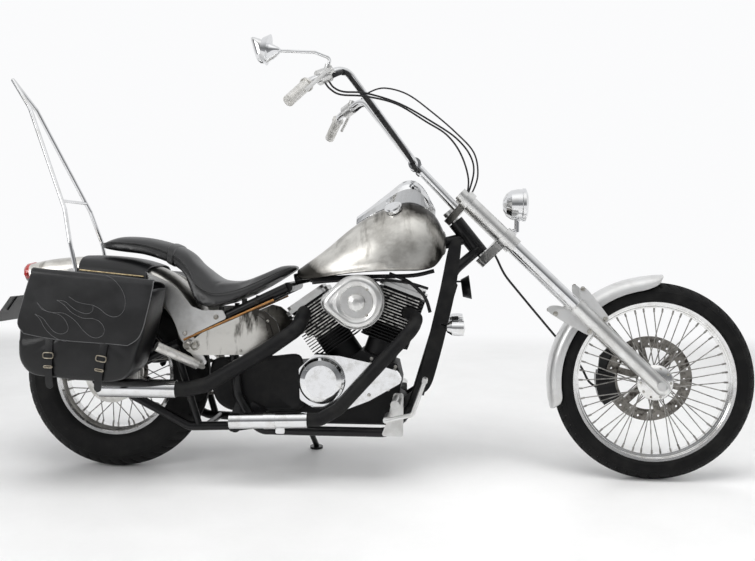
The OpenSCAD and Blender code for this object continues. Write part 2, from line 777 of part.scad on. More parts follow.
// Throw-over saddlebags: outline of a bag in x and z, open under its flap
bag_outline = [[-128, 672], [-212, 500], [-214, 400], [-190, 366], [110, 352], [150, 372], [186, 470],
    [222, 632]];
bag_inner = [[-118, 720], [-204, 500], [-205, 404], [-185, 374], [108, 361], [142, 378], [177, 472],
    [216, 690]];
hinge = [[-128, bag_y + 2, 677], [222, bag_y + 2, 637]];
flap_lip = 10;
module bag() {
    difference() {
        plate(rounded(bag_outline, 16), bag_y, bag_depth);
        plate(rounded(bag_inner, 12), bag_y + leather, bag_depth - 2 * leather);
    }
    plate([[-118, 640], [206, 610], [212, 637.8], [-118, 675.5]], bag_y, leather);
}

// Leather yoke that carries the bags over the fender, under the saddle
yoke_x = 30;
yoke_length = 74;
crest = [for (i = [len(fender_grid) - 1:-1:0]) fender_grid[i]];
function crest_z(x) = at_x(crest, x)[1];
module bag_yoke() {
    fall = atan2(crest_z(yoke_x) - crest_z(yoke_x + yoke_length), yoke_length);
    translate([yoke_x, 0, crest_z(yoke_x) + 3.5])
        rotate([0, fall, 0])
            rotate([90, 0, 90])
                linear_extrude(height = yoke_length)
                    polygon([[-bag_y - 1, -125], [-bag_y - 1, -92], [-bag_y + 10, -92], [-bag_y + 10, -34],
                        [-99, 4], [99, 4], [bag_y - 10, -34], [bag_y - 10, -92], [bag_y + 1, -92],
                        [bag_y + 1, -125], [bag_y - 14, -125], [bag_y - 14, -36], [98, 0], [-98, 0],
                        [-bag_y + 14, -36], [-bag_y + 14, -125]]);
}

module saddlebags() {
    color("#151515")
        parked()
            union() {
                both_sides()
                    bag();
                bag_yoke();
            }
}

module flap() {
    plate([[-128, 677], [222, 637], [222, 643], [-128, 683]], bag_y + 2, bag_depth + flap_lip - 2);
    plate(rounded([[-128, 683], [-214, 506], [-214, 440], [-190, 410], [160, 452], [190, 476],
        [222, 643]], 14), bag_y + bag_depth + flap_lip - 5, 5);
}

module bag_flap_right() {
    color("#191919")
        parked()
            mirror([0, 1, 0])
                flap();
}

module bag_flap_left() {
    color("#191919")
        parked()
            flap();
}

module passenger_pegs() {
    color("#c9c6bc")
        parked()
            both_sides()
                difference() {
                    union() {
                        rod([338, 130, 372], [322, 152, 380], 9);
                        rod([322, 148, 380], [208, 232, 450], 16);
                    }
                    plate([[200, 300], [420, 300], [420, 700], [200, 700]], 100,
                        rail_half + frame_tube + 0.5 + 2 * seat_gap + plate_thickness - 100);
                }
}

// Forward foot controls: bracket, peg and bent pedal on each side
module foot_controls() {
    color("#b4b6b8")
        parked()
            both_sides()
                union() {
                    plate(rounded([[1014, 150], [1014, 294], [982, 294], [960, 200], [940, 150]], 8),
                        cradle_half + frame_tube + seat_gap, 8);
                    rod([994, 126, 276], [994, 262, 276], 15);
                    rod([963, 126, 220], [963, 226, 220], 10);
                    bent_tube([[963, 226, 220], [1048, 228, 241], [1087, 228, 352]], 7, 14);
                    rod([1087, 205, 352], [1087, 252, 352], 9);
                }
}

module front_signals() {
    color("#d6d8da")
        parked()
            both_sides()
                union() {
                    translate([1150, 170, 517])
                        rotate([0, 90, 0])
                            rotate_extrude()
                                polygon([[0, 0], [14, 6], [24, 22], [26, 44], [24, 60], [0, 66]]);
                    rod([1130, 70 + frame_tube + 3, 524], [1172, 168, 518], 7);
                }
}

module horn() {
    color("#101011")
        parked()
            union() {
                translate([1204, 0, 640])
                    rotate([0, 82, 0])
                        cylinder(r1 = 30, r2 = 42, h = 30);
                difference() {
                    translate([1158, -10, 660])
                        cube([58, 20, 6]);
                    rod([1166, -30, 676], [1166, 30, 676], 8 + seat_gap);
                }
            }
}

// Drive chain on the left: loop between the gearbox and the wheel
sprocket_rear = 86;
sprocket_front = 34;
gearbox = [566, 0, 290];
chain_links = 96;
chain_run = gearbox - [0, 0, rear_z];
chain_tilt = acos((sprocket_rear - sprocket_front) / norm(chain_run));
chain_lead = atan2(chain_run[2], chain_run[0]);
chain_side = norm(chain_run) * sin(chain_tilt);
chain_back = sprocket_rear * (360 - 2 * chain_tilt) * PI / 180;
chain_front = sprocket_front * 2 * chain_tilt * PI / 180;
chain_pitch = (chain_back + chain_front + 2 * chain_side) / chain_links;
chain_link = [[0.05, 5], [0.15, 7], [0.4, 7], [0.5, 5]];
function spoke_at(r, a) = r * [cos(a), sin(a)];
function chain_at(s, g) =
    s < chain_back
    ? spoke_at(sprocket_rear + g, chain_lead + chain_tilt + s / sprocket_rear * 180 / PI)
    : s < chain_back + chain_side
    ? spoke_at(sprocket_rear + g, chain_lead - chain_tilt)
        + spoke_at(s - chain_back, chain_lead - chain_tilt + 90)
    : s < chain_back + chain_side + chain_front
    ? [chain_run[0], chain_run[2]] + spoke_at(sprocket_front + g,
        chain_lead - chain_tilt + (s - chain_back - chain_side) / sprocket_front * 180 / PI)
    : [chain_run[0], chain_run[2]] + spoke_at(sprocket_front + g, chain_lead + chain_tilt)
        + spoke_at(s - chain_back - chain_side - chain_front, chain_lead + chain_tilt + 90);
module chain_edge(side) {
    polygon([for (i = [0 : chain_links - 1]) for (p = chain_link)
        chain_at((i + p[0]) * chain_pitch, side * p[1])]);
}

module drive_chain() {
    color("#55524c")
        parked()
            union() {
                translate([0, chain_y + 6, rear_z])
                    rotate([90, 0, 0])
                        linear_extrude(height = 12)
                            difference() {
                                chain_edge(1);
                                chain_edge(-1);
                            }
                rod([gearbox[0], case_left + seat_gap, gearbox[2]], [gearbox[0], chain_y + 4, gearbox[2]],
                    sprocket_front - 3);
            }
}

// Yokes and stem that turn in the head tube
module yoke(offset, z, t) {
    translate([0, 0, z - t / 2])
        linear_extrude(height = t)
            difference() {
                union() {
                    for (y = [-leg_half, leg_half])
                        translate([0, y])
                            circle(r = stanchion_radius + 11);
                    translate([-offset, 0])
                        circle(r = 28);
                    polygon([[14, -leg_half], [14, leg_half], [-22, leg_half + 10], [-offset - 24, 14],
                        [-offset - 24, -14], [-22, -leg_half - 10]]);
                }
                for (y = [-leg_half, leg_half])
                    translate([0, y])
                        circle(r = stanchion_radius + running_gap);
            }
}

module fork_yokes() {
    color("#8c8e90")
        parked()
            union() {
                on_fork() {
                    yoke(yoke_offset, lower_yoke, lower_yoke_thickness);
                    yoke(upper_offset, upper_yoke, upper_yoke_thickness);
                }
                on_stem()
                    cylinder(r = stem_radius, h = yoke_gap / cos(yoke_rake) + 20);
                on_stem()
                    translate([0, 0, yoke_gap / cos(yoke_rake) + 12])
                        cylinder(r = 19, h = 14);
            }
}

module fork_tubes() {
    color("#d8dadc")
        parked()
            on_fork()
                for (y = [-leg_half, leg_half])
                    translate([0, y, slider_top - 50])
                        cylinder(r = stanchion_radius, h = upper_yoke + upper_yoke_thickness / 2
                            - slider_top + 50);
}

module fork_covers() {
    low = lower_yoke + lower_yoke_thickness / 2 + seat_gap;
    high = upper_yoke - upper_yoke_thickness / 2 - seat_gap;
    color("#c9c7c0")
        parked()
            on_fork()
                for (y = [-leg_half, leg_half])
                    translate([0, y, 0]) {
                        difference() {
                            translate([0, 0, low])
                                cylinder(r = cover_radius, h = high - low);
                            translate([0, 0, low - 1])
                                cylinder(r = stanchion_radius + running_gap, h = high - low + 2);
                        }
                        translate([0, 0, upper_yoke + upper_yoke_thickness / 2 + seat_gap])
                            cylinder(r = 22, h = 22);
                        difference() {
                            translate([0, 0, lower_yoke - lower_yoke_thickness / 2 - seat_gap - 26])
                                cylinder(r = cover_radius + 1, h = 26);
                            translate([0, 0, lower_yoke - 60])
                                cylinder(r = stanchion_radius + running_gap, h = 60);
                        }
                    }
}

module fork_sliders() {
    color("#cbc9c2")
        parked()
            on_fork()
                for (y = [-leg_half, leg_half])
                    translate([0, y, 0])
                        difference() {
                            union() {
                                translate([0, 0, -20])
                                    cylinder(r = slider_radius, h = slider_top + 20);
                                translate([0, 0, slider_top - 22])
                                    cylinder(r = slider_radius + 2.5, h = 18);
                                translate([0, 0, -34])
                                    cylinder(r1 = 18, r2 = slider_radius, h = 14);
                            }
                            translate([0, 0, slider_top - 50])
                                cylinder(r = stanchion_radius + running_gap, h = 60);
                            rotate([90, 0, 0])
                                cylinder(r = axle_radius + running_gap, h = 80, center = true);
                        }
}

// Front axle with its spacers and nuts
module front_axle() {
    color("#c4c6c8")
        parked()
            union() {
                rod(front_axle_at - [0, leg_half + 34, 0], front_axle_at + [0, leg_half + 34, 0],
                    axle_radius);
                both_sides() {
                    rod(front_axle_at + [0, front_hub_half + 0.5, 0],
                        front_axle_at + [0, leg_half - slider_radius - seat_gap, 0], 14);
                    rod(front_axle_at + [0, leg_half + slider_radius + seat_gap, 0],
                        front_axle_at + [0, leg_half + slider_radius + 9, 0], 14);
                }
            }
}

// Short front fender with straight skirts and a pair of bosses to each slider
fender_skirt = 26;
module fender_section(r) {
    intersection() {
        circle(r = r);
        translate([0, -r])
            square([r, 2 * r]);
    }
    translate([-fender_skirt, -r])
        square([fender_skirt, 2 * r]);
}

module front_fender() {
    mid = front_fender_radius - front_fender_crown;
    color("#d9dad8")
        parked()
            union() {
                translate(front_axle_at)
                    rotate([90, 0, 0])
                        rotate([0, 0, 88])
                            rotate_extrude(angle = 106)
                                translate([mid, 0])
                                    difference() {
                                        fender_section(front_fender_crown);
                                        translate([-0.5, 0])
                                            fender_section(front_fender_crown - fender_wall);
                                    }
                on_fork()
                    both_sides()
                        difference() {
                            for (z = [mid - 18, mid + 8])
                                translate([0, front_fender_crown - 1, z])
                                    rotate([-90, 0, 0])
                                        cylinder(r = 8, h = leg_half - front_fender_crown);
                            translate([0, leg_half, mid - 60])
                                cylinder(r = slider_radius + seat_gap, h = 120);
                        }
            }
}

// Brake caliper round the disc, with a lug on the left slider
caliper_outer = disc_radius + 32;
caliper_lug = [[-84, 112], [-104, 138], [-60, 172], [8, 172], [8, 128], [-30, 124]];
module caliper_part(r1, r2, a1, a2, y1, y2) {
    translate([0, y2, 0])
        rotate([90, 0, 0])
            linear_extrude(height = y2 - y1)
                polygon([for (a = [a1:8:a2]) spoke_at(r2, a), for (a = [a2:-8:a1]) spoke_at(r1, a)]);
}
module brake_caliper() {
    color("#2a2b2d")
        parked()
            on_fork()
                union() {
                    caliper_part(disc_band + 11, caliper_outer, 125, 165, disc_y - 15, disc_y - 3);
                    caliper_part(disc_band + 11, caliper_outer, 125, 165, disc_y + disc_thickness + 3, disc_y + 27);
                    caliper_part(disc_radius + 6, caliper_outer + 4, 129, 161, disc_y - 12, disc_y + 24);
                    translate([0, leg_half - slider_radius - seat_gap, 0])
                        rotate([90, 0, 0])
                            linear_extrude(height = 12)
                                polygon(caliper_lug);
                }
}

// Headlight with its rim and the bracket from the lower yoke
headlight_at = [1385, 0, 925];
module headlight() {
    color("#e6e8ea")
        parked()
            difference() {
                union() {
                    translate(headlight_at)
                        rotate([0, 90, 0])
                            rotate_extrude()
                                polygon([[0, -46], [20, -43], [38, -33], [50, -16], [headlight_radius - 3, 6],
                                    [headlight_radius - 3, 20], [headlight_radius, 22], [headlight_radius, 32],
                                    [headlight_radius - 5, 35], [headlight_radius - 18, 40], [0, 44]]);
                    rod(headlight_at - [-4, 0, 40], headlight_at - [-4, 0, 92], 9);
                    rod([1389, 0, 838], leg_point(16, 0, lower_yoke + 8), 9);
                }
                on_fork()
                    translate([-80, -60, lower_yoke - 60])
                        cube([94 + seat_gap, 120, 60 + lower_yoke_thickness / 2]);
            }
}

// High handlebar: half path from the middle out to the left end
bar_middle = [1042, 0, 1060];
bar_path = [[1042, 98, 1060], [832, 300, 1334], [734, 370, 1281], [685, 456, 1210]];
module handlebar() {
    color("#dcdee0")
        parked()
            bent_tube([for (i = [3:-1:0]) flip(bar_path[i]), each bar_path], bar_radius, bar_bend);
}

module bar_risers() {
    color("#dcdee0")
        parked()
            difference() {
                for (y = [-riser_half, riser_half])
                    union() {
                        rod(leg_point(-40, y, upper_yoke), bar_middle + [0, y, 0], riser_radius);
                        rod(bar_middle + [0, y - 17, 0], bar_middle + [0, y + 17, 0], bar_radius + 9);
                    }
                rod(bar_middle - [0, 90, 0], bar_middle + [0, 90, 0], bar_radius + running_gap);
                on_fork()
                    translate([-200, -100, upper_yoke - 60])
                        cube([300, 200, 60 + upper_yoke_thickness / 2 + seat_gap]);
            }
}

grip_along = unit(bar_path[3] - bar_path[2]);
module grips() {
    color("#a9aaa8")
        parked()
            both_sides()
                difference() {
                    union() {
                        rod(bar_path[3] - grip_along * (grip_length - 4), bar_path[3] + grip_along * 4,
                            grip_radius);
                        rod(bar_path[3] - grip_along * grip_length, bar_path[3] - grip_along * (grip_length - 8),
                            grip_radius + 4);
                    }
                    rod(bar_path[3] - grip_along * 130, bar_path[3] + grip_along * seat_gap, bar_radius + running_gap);
                }
}

// Switch housings, perches, levers and the brake fluid reservoir
perch = bar_path[1] + (bar_path[2] - bar_path[1]) * 0.72;
perch_along = unit(bar_path[2] - bar_path[1]);
lever_out = [52, 0, 30];
mirror_up = unit([8, 0, 26]);
mirror_foot = perch - perch_along * 20 + mirror_up * 20;
mirror_hole = 5;
module bar_controls() {
    color("#b0b2b4")
        parked() {
            both_sides()
                difference() {
                    union() {
                        rod(perch - perch_along * 34, perch + perch_along * 6, bar_radius + 11);
                        rod(perch - perch_along * 12, perch + lever_out * 0.8, 11);
                        bent_tube([perch + lever_out * 0.7, perch + lever_out + perch_along * 40,
                            bar_path[3] + lever_out * 0.9], 6, 20);
                        rod(mirror_foot - mirror_up * 12, mirror_foot + mirror_up * 14, 11);
                    }
                    rod(bar_path[1], bar_path[2], bar_radius + running_gap);
                    rod(mirror_foot, mirror_foot + mirror_up * 40, mirror_hole);
                }
        }
}

// Mirror on the right housing
module rear_mirror() {
    foot = flip(mirror_foot);
    color("#e0e2e4")
        parked()
            union() {
                bent_tube([foot + mirror_up * 2, foot + mirror_up * 34, foot + mirror_up * 34 + [-44, -34, 12],
                    [636, -428, 1362]], mirror_hole - running_gap, 12);
                translate([618, -430, 1364])
                    rotate([0, -80, 0])
                        cylinder(r1 = 46, r2 = 34, h = 20);
                translate([640, -428, 1358])
                    rotate([0, -80, 0])
                        cylinder(r = 9, h = 30);
            }
}

// Free cables of the fork: points by hand from lever, throttle or yoke to where each one ends
cable_radius = 3;
hose_radius = 4;
clutch_points = [[800, 350, 1318], [822, 346, 1345], [850, 332, 1366], [912, 290, 1375], [1000, 246, 1344],
    [1092, 202, 1272], [1180, 166, 1192], [1243, 128, 1118], [1258, 100, 1040], [1242, 82, 980],
    [1216, 72, 943]];
throttle_points = [[788, -339, 1286], [802, -336, 1268], [832, -328, 1256], [900, -296, 1256],
    [1001, -231, 1233], [1106, -182, 1180], [1179, -132, 1137], [1226, -92, 1085], [1240, -40, 1030],
    [1217, 10, 944]];
return_points = [[777, -346, 1280], [792, -343, 1262], [824, -334, 1246], [898, -300, 1246],
    [990, -250, 1230], [1083, -207, 1180], [1150, -166, 1142], [1196, -118, 1085], [1222, -60, 1010],
    [1217, -10, 944]];
hose_points = [[1315, 24, 759], [1326, 26, 738], [1353, 34, 686], [1400, 50, 628], [1514, 78, 494],
    [1570, 82, 430], [1620, 78, 370], [1648, 66, 318], [1678, 63, 298]];
function cord_ring(g, i, r) = let (d = along(g, i), u = unit(cross([0, 1, 0], d)), v = cross(d, u))
    [for (a = [0:45:315]) g[i] + r * (cos(a) * u + sin(a) * v)];
module cord(points, r) {
    g = smooth(points, 2);
    last = 8 * (len(g) - 1);
    polyhedron(points = [for (i = [0:len(g) - 1]) each cord_ring(g, i, r)],
        faces = concat([[for (j = [0:7]) j], [for (j = [7:-1:0]) last + j]],
            [for (i = [0:8:last - 8]) for (j = [0:7]) [i + j, i + 8 + j, i + 8 + (j + 1) % 8]],
            [for (i = [0:8:last - 8]) for (j = [0:7]) [i + j, i + 8 + (j + 1) % 8, i + (j + 1) % 8]]));
}
module clutch_cable() {
    color("#161616")
        parked()
            cord(clutch_points, cable_radius);
}

module throttle_cable() {
    color("#161616")
        parked()
            cord(throttle_points, cable_radius);
}

module return_cable() {
    color("#161616")
        parked()
            cord(return_points, cable_radius);
}

module brake_hose() {
    color("#161616")
        parked()
            cord(hose_points, hose_radius);
}

// Tyre section in radius and width, on a rim with flanges and bead seats
module tyre_section(radius, width, rim, wall) {
    bead = rim - 14;
    half = width / 2;
    difference() {
        intersection() {
            translate([radius - half, 0])
                circle(r = half);
            union() {
                translate([bead, -width * 0.31])
                    square([40, width * 0.62]);
                translate([rim + seat_gap, -half])
                    square([radius, width]);
            }
        }
        intersection() {
            translate([radius - half, 0])
                circle(r = half - wall);
            translate([rim + 6, -half])
                square([radius, width]);
        }
        translate([bead - 1, -width * 0.2])
            square([24, width * 0.4]);
    }
}

module rim_section(rim, half) {
    bead = rim - 14 - seat_gap;
    polygon([[rim, -half - 6], [rim, -half - seat_gap], [bead, -half - seat_gap], [bead, -half + 16],
        [bead - 10, -half * 0.45], [bead - 10, half * 0.45], [bead, half - 16], [bead, half + seat_gap],
        [rim, half + seat_gap], [rim, half + 6], [bead - 3, half + 4], [bead - 5, half - 14],
        [bead - 15, half * 0.45 - 2], [bead - 15, -half * 0.45 + 2], [bead - 5, -half + 14],
        [bead - 3, -half - 4]]);
}

// Crossed spokes from two flanges to the rim, each with a nipple
module spokes(x, z, count, hub_r, hub_y, rim_r, rim_y, cross) {
    for (i = [0:count - 1]) {
        side = i % 2 == 0 ? -1 : 1;
        lead = floor(i / 2) % 2 == 0 ? -1 : 1;
        at = i * 360 / count;
        from = at + lead * cross;
        y_hub = side < 0 ? hub_y[0] + lead * 3 : hub_y[1] + lead * 3;
        seat = [x + rim_r * cos(at), side * rim_y, z + rim_r * sin(at)];
        inner = [x + (rim_r - 14) * cos(at), side * rim_y, z + (rim_r - 14) * sin(at)];
        rod([x + hub_r * cos(from), y_hub, z + hub_r * sin(from)], inner, spoke_radius);
        rod(inner, seat, spoke_radius + 1.4);
    }
}

module front_tyre() {
    color("#121212")
        parked()
            on_axle(wheelbase, front_z)
                rotate_extrude()
                    tyre_section(front_tyre_radius, front_tyre_width, front_rim_radius, tyre_wall);
}

module front_rim() {
    color("#d2d4d6")
        parked()
            on_axle(wheelbase, front_z)
                rotate_extrude()
                    rim_section(front_rim_radius, front_tyre_width * 0.31);
}

module front_hub() {
    f = front_flange_radius;
    color("#9fa1a3")
        parked()
            union() {
                on_axle(wheelbase, front_z)
                    rotate_extrude()
                        polygon([[axle_radius + running_gap, -front_hub_half],
                            [24, -front_hub_half], [26, -38], [f, -38], [f, -30], [26, -28], [22, 0],
                            [26, 28], [f, 30], [f, 38], [30, 40], [30, front_hub_half],
                            [axle_radius + running_gap, front_hub_half]]);
                spokes(wheelbase, front_z, front_spokes, f - 4, [-34, 34],
                    front_rim_radius - 29 - 2 * seat_gap, 8, 32);
            }
}

// Drilled brake disc with six arms to the hub
module brake_disc() {
    color("#8a8378")
        parked()
            on_axle(wheelbase, front_z)
                difference() {
                    union() {
                        translate([0, 0, disc_y])
                            difference() {
                                cylinder(r = disc_radius, h = disc_thickness);
                                translate([0, 0, -1])
                                    cylinder(r = disc_band, h = disc_thickness + 2);
                            }
                        for (i = [0:5])
                            rotate([0, 0, i * 60 + 15])
                                translate([30, -11, front_hub_half + seat_gap])
                                    cube([disc_band - 26, 22, disc_y + 4 - front_hub_half]);
                        translate([0, 0, front_hub_half + seat_gap])
                            cylinder(r = 44, h = 12);
                    }
                    cylinder(r = 20, h = 100);
                    for (i = [0:23])
                        rotate([0, 0, i * 15])
                            translate([disc_band + 12 + (i % 2) * 14, 0, disc_y - 8])
                                cylinder(r = 4, h = 20);
                }
}

module rear_tyre() {
    color("#121212")
        parked()
            on_axle(0, rear_z)
                rotate_extrude()
                    tyre_section(rear_tyre_radius, rear_tyre_width, rear_rim_radius, tyre_wall);
}

module rear_rim() {
    color("#d2d4d6")
        parked()
            on_axle(0, rear_z)
                rotate_extrude()
                    rim_section(rear_rim_radius, rear_tyre_width * 0.31);
}

module rear_hub() {
    color("#9fa1a3")
        parked()
            union() {
                on_axle(0, rear_z)
                    rotate_extrude()
                        polygon([[axle_radius + running_gap, panel_y + 1], [drum_radius - 2, panel_y + 1],
                            [drum_radius, panel_y + 4], [drum_radius, -50], [60, -44], [40, -10], [40, 20],
                            [72, 34], [72, 48], [46, 52], [46, 65.5], [axle_radius + running_gap, 65.5]]);
                spokes(0, rear_z, rear_spokes, 70, [-60, 41], rear_rim_radius - 29 - 2 * seat_gap, 14, 26);
            }
}

// Rear sprocket with its teeth inside the chain's rollers
module rear_sprocket() {
    color("#5c5a56")
        parked()
            on_axle(0, rear_z)
                difference() {
                    union() {
                        translate([0, 0, chain_y - 3])
                            cylinder(r = sprocket_rear - 12, h = 6);
                        translate([0, 0, 65.5 + seat_gap])
                            cylinder(r = 44, h = chain_y - 64);
                    }
                    cylinder(r = 18, h = 200);
                }
}

// Side stand on a slanted pin, so that it folds back along the frame
stand_tilt = 28;
stand_pin = [0, cos(stand_tilt), sin(stand_tilt)];
stand_pivot = [640, cradle_half + frame_tube + 18, 150];
stand_foot = [668, 252, 0];
pin_radius = 6;
module side_stand() {
    foot_z = stand_foot[1] * tan(lean) - lift / cos(lean);
    color("#1b1b1c")
        parked()
            difference() {
                union() {
                    rod(stand_pivot - stand_pin * 12, stand_pivot + stand_pin * 12, 14);
                    bent_tube([stand_pivot - stand_pin * 2, [656, 200, 88],
                        [stand_foot[0], stand_foot[1], foot_z + 10]], stand_radius, 60);
                    translate([stand_foot[0], stand_foot[1], foot_z])
                        rotate([lean, 0, 0])
                            cylinder(r = foot_radius, h = 8);
                }
                rod(stand_pivot - stand_pin * 30, stand_pivot + stand_pin * 30, pin_radius + running_gap);
            }
}

frame();
swing_arm();
rear_brake();
engine_cases();
engine_covers();
cylinders();
rocker_covers();
air_cleaner();
exhaust_headers();
mufflers();
radiator();
fuel_tank();
tank_console();
seat();
side_covers();
fender_struts();
rear_fender();
sissy_bar();
tail_lamp();
number_plate();
saddlebags();
passenger_pegs();
foot_controls();
front_signals();
horn();
drive_chain();
fork_yokes();
fork_tubes();
fork_covers();
fork_sliders();
front_axle();
front_fender();
brake_caliper();
headlight();
handlebar();
bar_risers();
grips();
bar_controls();
rear_mirror();
front_tyre();
front_rim();
front_hub();
brake_disc();
rear_tyre();
rear_rim();
rear_hub();
rear_sprocket();
side_stand();
bag_flap_right();
bag_flap_left();
clutch_cable();
throttle_cable();
return_cable();
brake_hose();
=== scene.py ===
import math

import bmesh
import bpy
from mathutils import Matrix, Vector, noise


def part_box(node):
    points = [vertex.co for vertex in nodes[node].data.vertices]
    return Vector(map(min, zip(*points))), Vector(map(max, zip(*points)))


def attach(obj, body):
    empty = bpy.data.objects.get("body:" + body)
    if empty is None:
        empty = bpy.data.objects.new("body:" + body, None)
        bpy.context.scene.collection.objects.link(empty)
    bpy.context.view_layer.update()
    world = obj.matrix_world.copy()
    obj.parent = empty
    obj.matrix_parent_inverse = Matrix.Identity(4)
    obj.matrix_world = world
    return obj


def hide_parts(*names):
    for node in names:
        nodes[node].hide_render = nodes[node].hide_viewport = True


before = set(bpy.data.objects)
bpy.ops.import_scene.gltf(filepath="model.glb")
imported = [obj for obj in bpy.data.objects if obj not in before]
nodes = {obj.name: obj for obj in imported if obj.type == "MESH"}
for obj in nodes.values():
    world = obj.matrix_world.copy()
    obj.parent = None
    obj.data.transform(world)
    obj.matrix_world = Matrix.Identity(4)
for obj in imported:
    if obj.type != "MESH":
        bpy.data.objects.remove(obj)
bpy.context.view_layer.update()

# Stand and camera: the machine leans on its side stand, so shapes are written upright, in
# millimetres from the ground under the rear axle, and turned to where it stands.
LEAN = math.radians(5)
REAR_AXLE = (0, 327)
FRONT_AXLE = (1850, 333)
low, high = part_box("rear_rim")
shift = (Vector(low) + Vector(high)) / 2
STANCE = Matrix.Rotation(-LEAN, 4, "X")
shift -= STANCE @ Vector((0, 0, REAR_AXLE[1] / 1000))
STANCE = Matrix.Translation(shift) @ STANCE
upright = STANCE.to_3x3()


def parked(x, y, z):
    """A point of the upright machine, in millimetres, as metres where it stands."""
    return STANCE @ Vector((x / 1000, y / 1000, z / 1000))


camera = bpy.data.objects.new("camera", bpy.data.cameras.new("camera"))
bpy.context.scene.collection.objects.link(camera)
camera.data.lens = 43.64
camera.data.sensor_width = 36
camera.data.sensor_fit = "HORIZONTAL"
camera.location = shift + Vector((1.1667, -3.0702, 1.0412))
yaw, pitch = -0.0805, -0.1205
aim = Vector((math.sin(yaw) * math.cos(pitch), math.cos(yaw) * math.cos(pitch), math.sin(pitch)))
camera.rotation_euler = aim.to_track_quat("-Z", "Y").to_euler()
bpy.context.scene.camera = camera
bpy.context.scene.view_settings.view_transform = "Standard"

# Studio: a pale concrete floor that runs out into white, soft boxes overhead and at both
# front corners, and a dark room behind the camera that gives bright metal its dark bands.


class Tone:
    """One value in a finish; arithmetic on it adds the nodes that work it out."""

    def __init__(self, tree, socket):
        self.tree = tree
        self.socket = socket

    def node(self, kind, sockets=(), out=0, stops=(), **settings):
        made = self.tree.nodes.new(kind)
        for key, value in settings.items():
            setattr(made, key, value)
        for i, (place, value) in enumerate(stops):
            if i >= len(made.color_ramp.elements):
                made.color_ramp.elements.new(place)
            made.color_ramp.elements[i].position = place
            made.color_ramp.elements[i].color = (*value, 1)
        for key, value in dict(sockets).items():
            if isinstance(value, Tone):
                self.tree.links.new(value.socket, made.inputs[key])
            else:
                made.inputs[key].default_value = value
        return Tone(self.tree, made.outputs[out])

    def math(self, operation, *others):
        return self.node("ShaderNodeMath", dict(enumerate((self, *others))), operation=operation)

    def __add__(self, other):
        return self.math("ADD", other)

    def __mul__(self, other):
        return self.math("MULTIPLY", other)

    def __truediv__(self, other):
        return self.math("DIVIDE", other)

    def step(self, low, high, to_low=0.0, to_high=1.0):
        return self.node("ShaderNodeMapRange", {0: self, 1: low, 2: high, 3: to_low, 4: to_high},
                         interpolation_type="SMOOTHSTEP")

    def mix(self, a, b):
        return self.node("ShaderNodeMix", {0: self, 6: a, 7: b}, out=2, data_type="RGBA")

    def along(self, axis, origin=(0, 0, 0)):
        moved = self.node("ShaderNodeVectorMath", {0: self, 1: origin}, operation="SUBTRACT")
        return moved.node("ShaderNodeVectorMath", {0: moved, 1: axis}, out=1, operation="DOT_PRODUCT")

    def noise(self, scale, detail=3.0, rough=0.5, stretch=None):
        at = self.node("ShaderNodeMapping", {0: self, 3: stretch}) if stretch else self
        return at.node("ShaderNodeTexNoise", {"Vector": at, "Scale": scale, "Detail": detail,
                                              "Roughness": rough})

    def ramp(self, *stops):
        return self.node("ShaderNodeValToRGB", {0: self}, stops=stops)

    def bump(self, strength, depth):
        return self.node("ShaderNodeBump", {"Strength": strength, "Distance": depth, "Height": self})


def finish(name, **fixed):
    """A new material, the place on the piece, and a call that lays tones on it."""
    made = bpy.data.materials.new(name)
    made.use_nodes = True
    tree = made.node_tree
    shader = tree.nodes["Principled BSDF"]
    for key, value in fixed.items():
        shader.inputs[key.replace("_", " ")].default_value = value
    place = Tone(tree, tree.nodes.new("ShaderNodeTexCoord").outputs["Object"])

    def lay(**tones):
        for key, tone in tones.items():
            tree.links.new(tone.socket, shader.inputs[key.replace("_", " ")])

    return made, place, lay


def settle(piece_name, mesh, turn=30):
    """A mesh as a piece: faces outward, smooth but for edges that turn sharply."""
    shape = bmesh.new()
    shape.from_mesh(mesh)
    bmesh.ops.remove_doubles(shape, verts=shape.verts, dist=1e-6)
    bmesh.ops.recalc_face_normals(shape, faces=shape.faces)
    for face in shape.faces:
        face.smooth = True
    for edge in shape.edges:
        edge.smooth = len(edge.link_faces) == 2 and edge.calc_face_angle(0) < math.radians(turn)
    shape.to_mesh(mesh)
    shape.free()
    piece = bpy.data.objects.new(piece_name, mesh)
    bpy.context.scene.collection.objects.link(piece)
    return piece


def blend(tree, share, first, second, out_name):
    """Joins two shaders by a share and leads them to the output of the tree."""
    both = tree.nodes.new("ShaderNodeMixShader")
    tree.links.new(share.socket, both.inputs[0])
    tree.links.new(first.outputs[0], both.inputs[1])
    tree.links.new(second.outputs[0], both.inputs[2])
    tree.links.new(both.outputs[0], tree.nodes[out_name].inputs[0])


white = (0.965, 0.967, 0.975, 1)
floor_mesh = bpy.data.meshes.new("floor")
floor_mesh.from_pydata([(-30, -30, 0), (30, -30, 0), (30, 30, 0), (-30, 30, 0)], [], [(0, 1, 2, 3)])
floor = settle("floor", floor_mesh)
concrete, place, lay = finish("pale_floor", Roughness=0.55)
mottle = place.noise(1.3, 5, 0.6).step(0.3, 0.7) * 0.5 + place.noise(60, 2) * 0.2
rim = place.along((0, 1, 0)).math("ABSOLUTE").step(2.0, 2.7).math(
    "MAXIMUM", place.along((1, 0, 0)).math("ABSOLUTE").step(3.2, 5.0))
lay(Base_Color=mottle.ramp((0, (0.80, 0.795, 0.785)), (0.7, (0.87, 0.865, 0.855))),
    Roughness=place.noise(9).step(0.3, 0.7, 0.45, 0.65))
tree = concrete.node_tree
glow = tree.nodes.new("ShaderNodeEmission")
glow.inputs["Color"].default_value = white
blend(tree, rim, tree.nodes["Principled BSDF"], glow, "Material Output")
floor.data.materials.append(concrete)

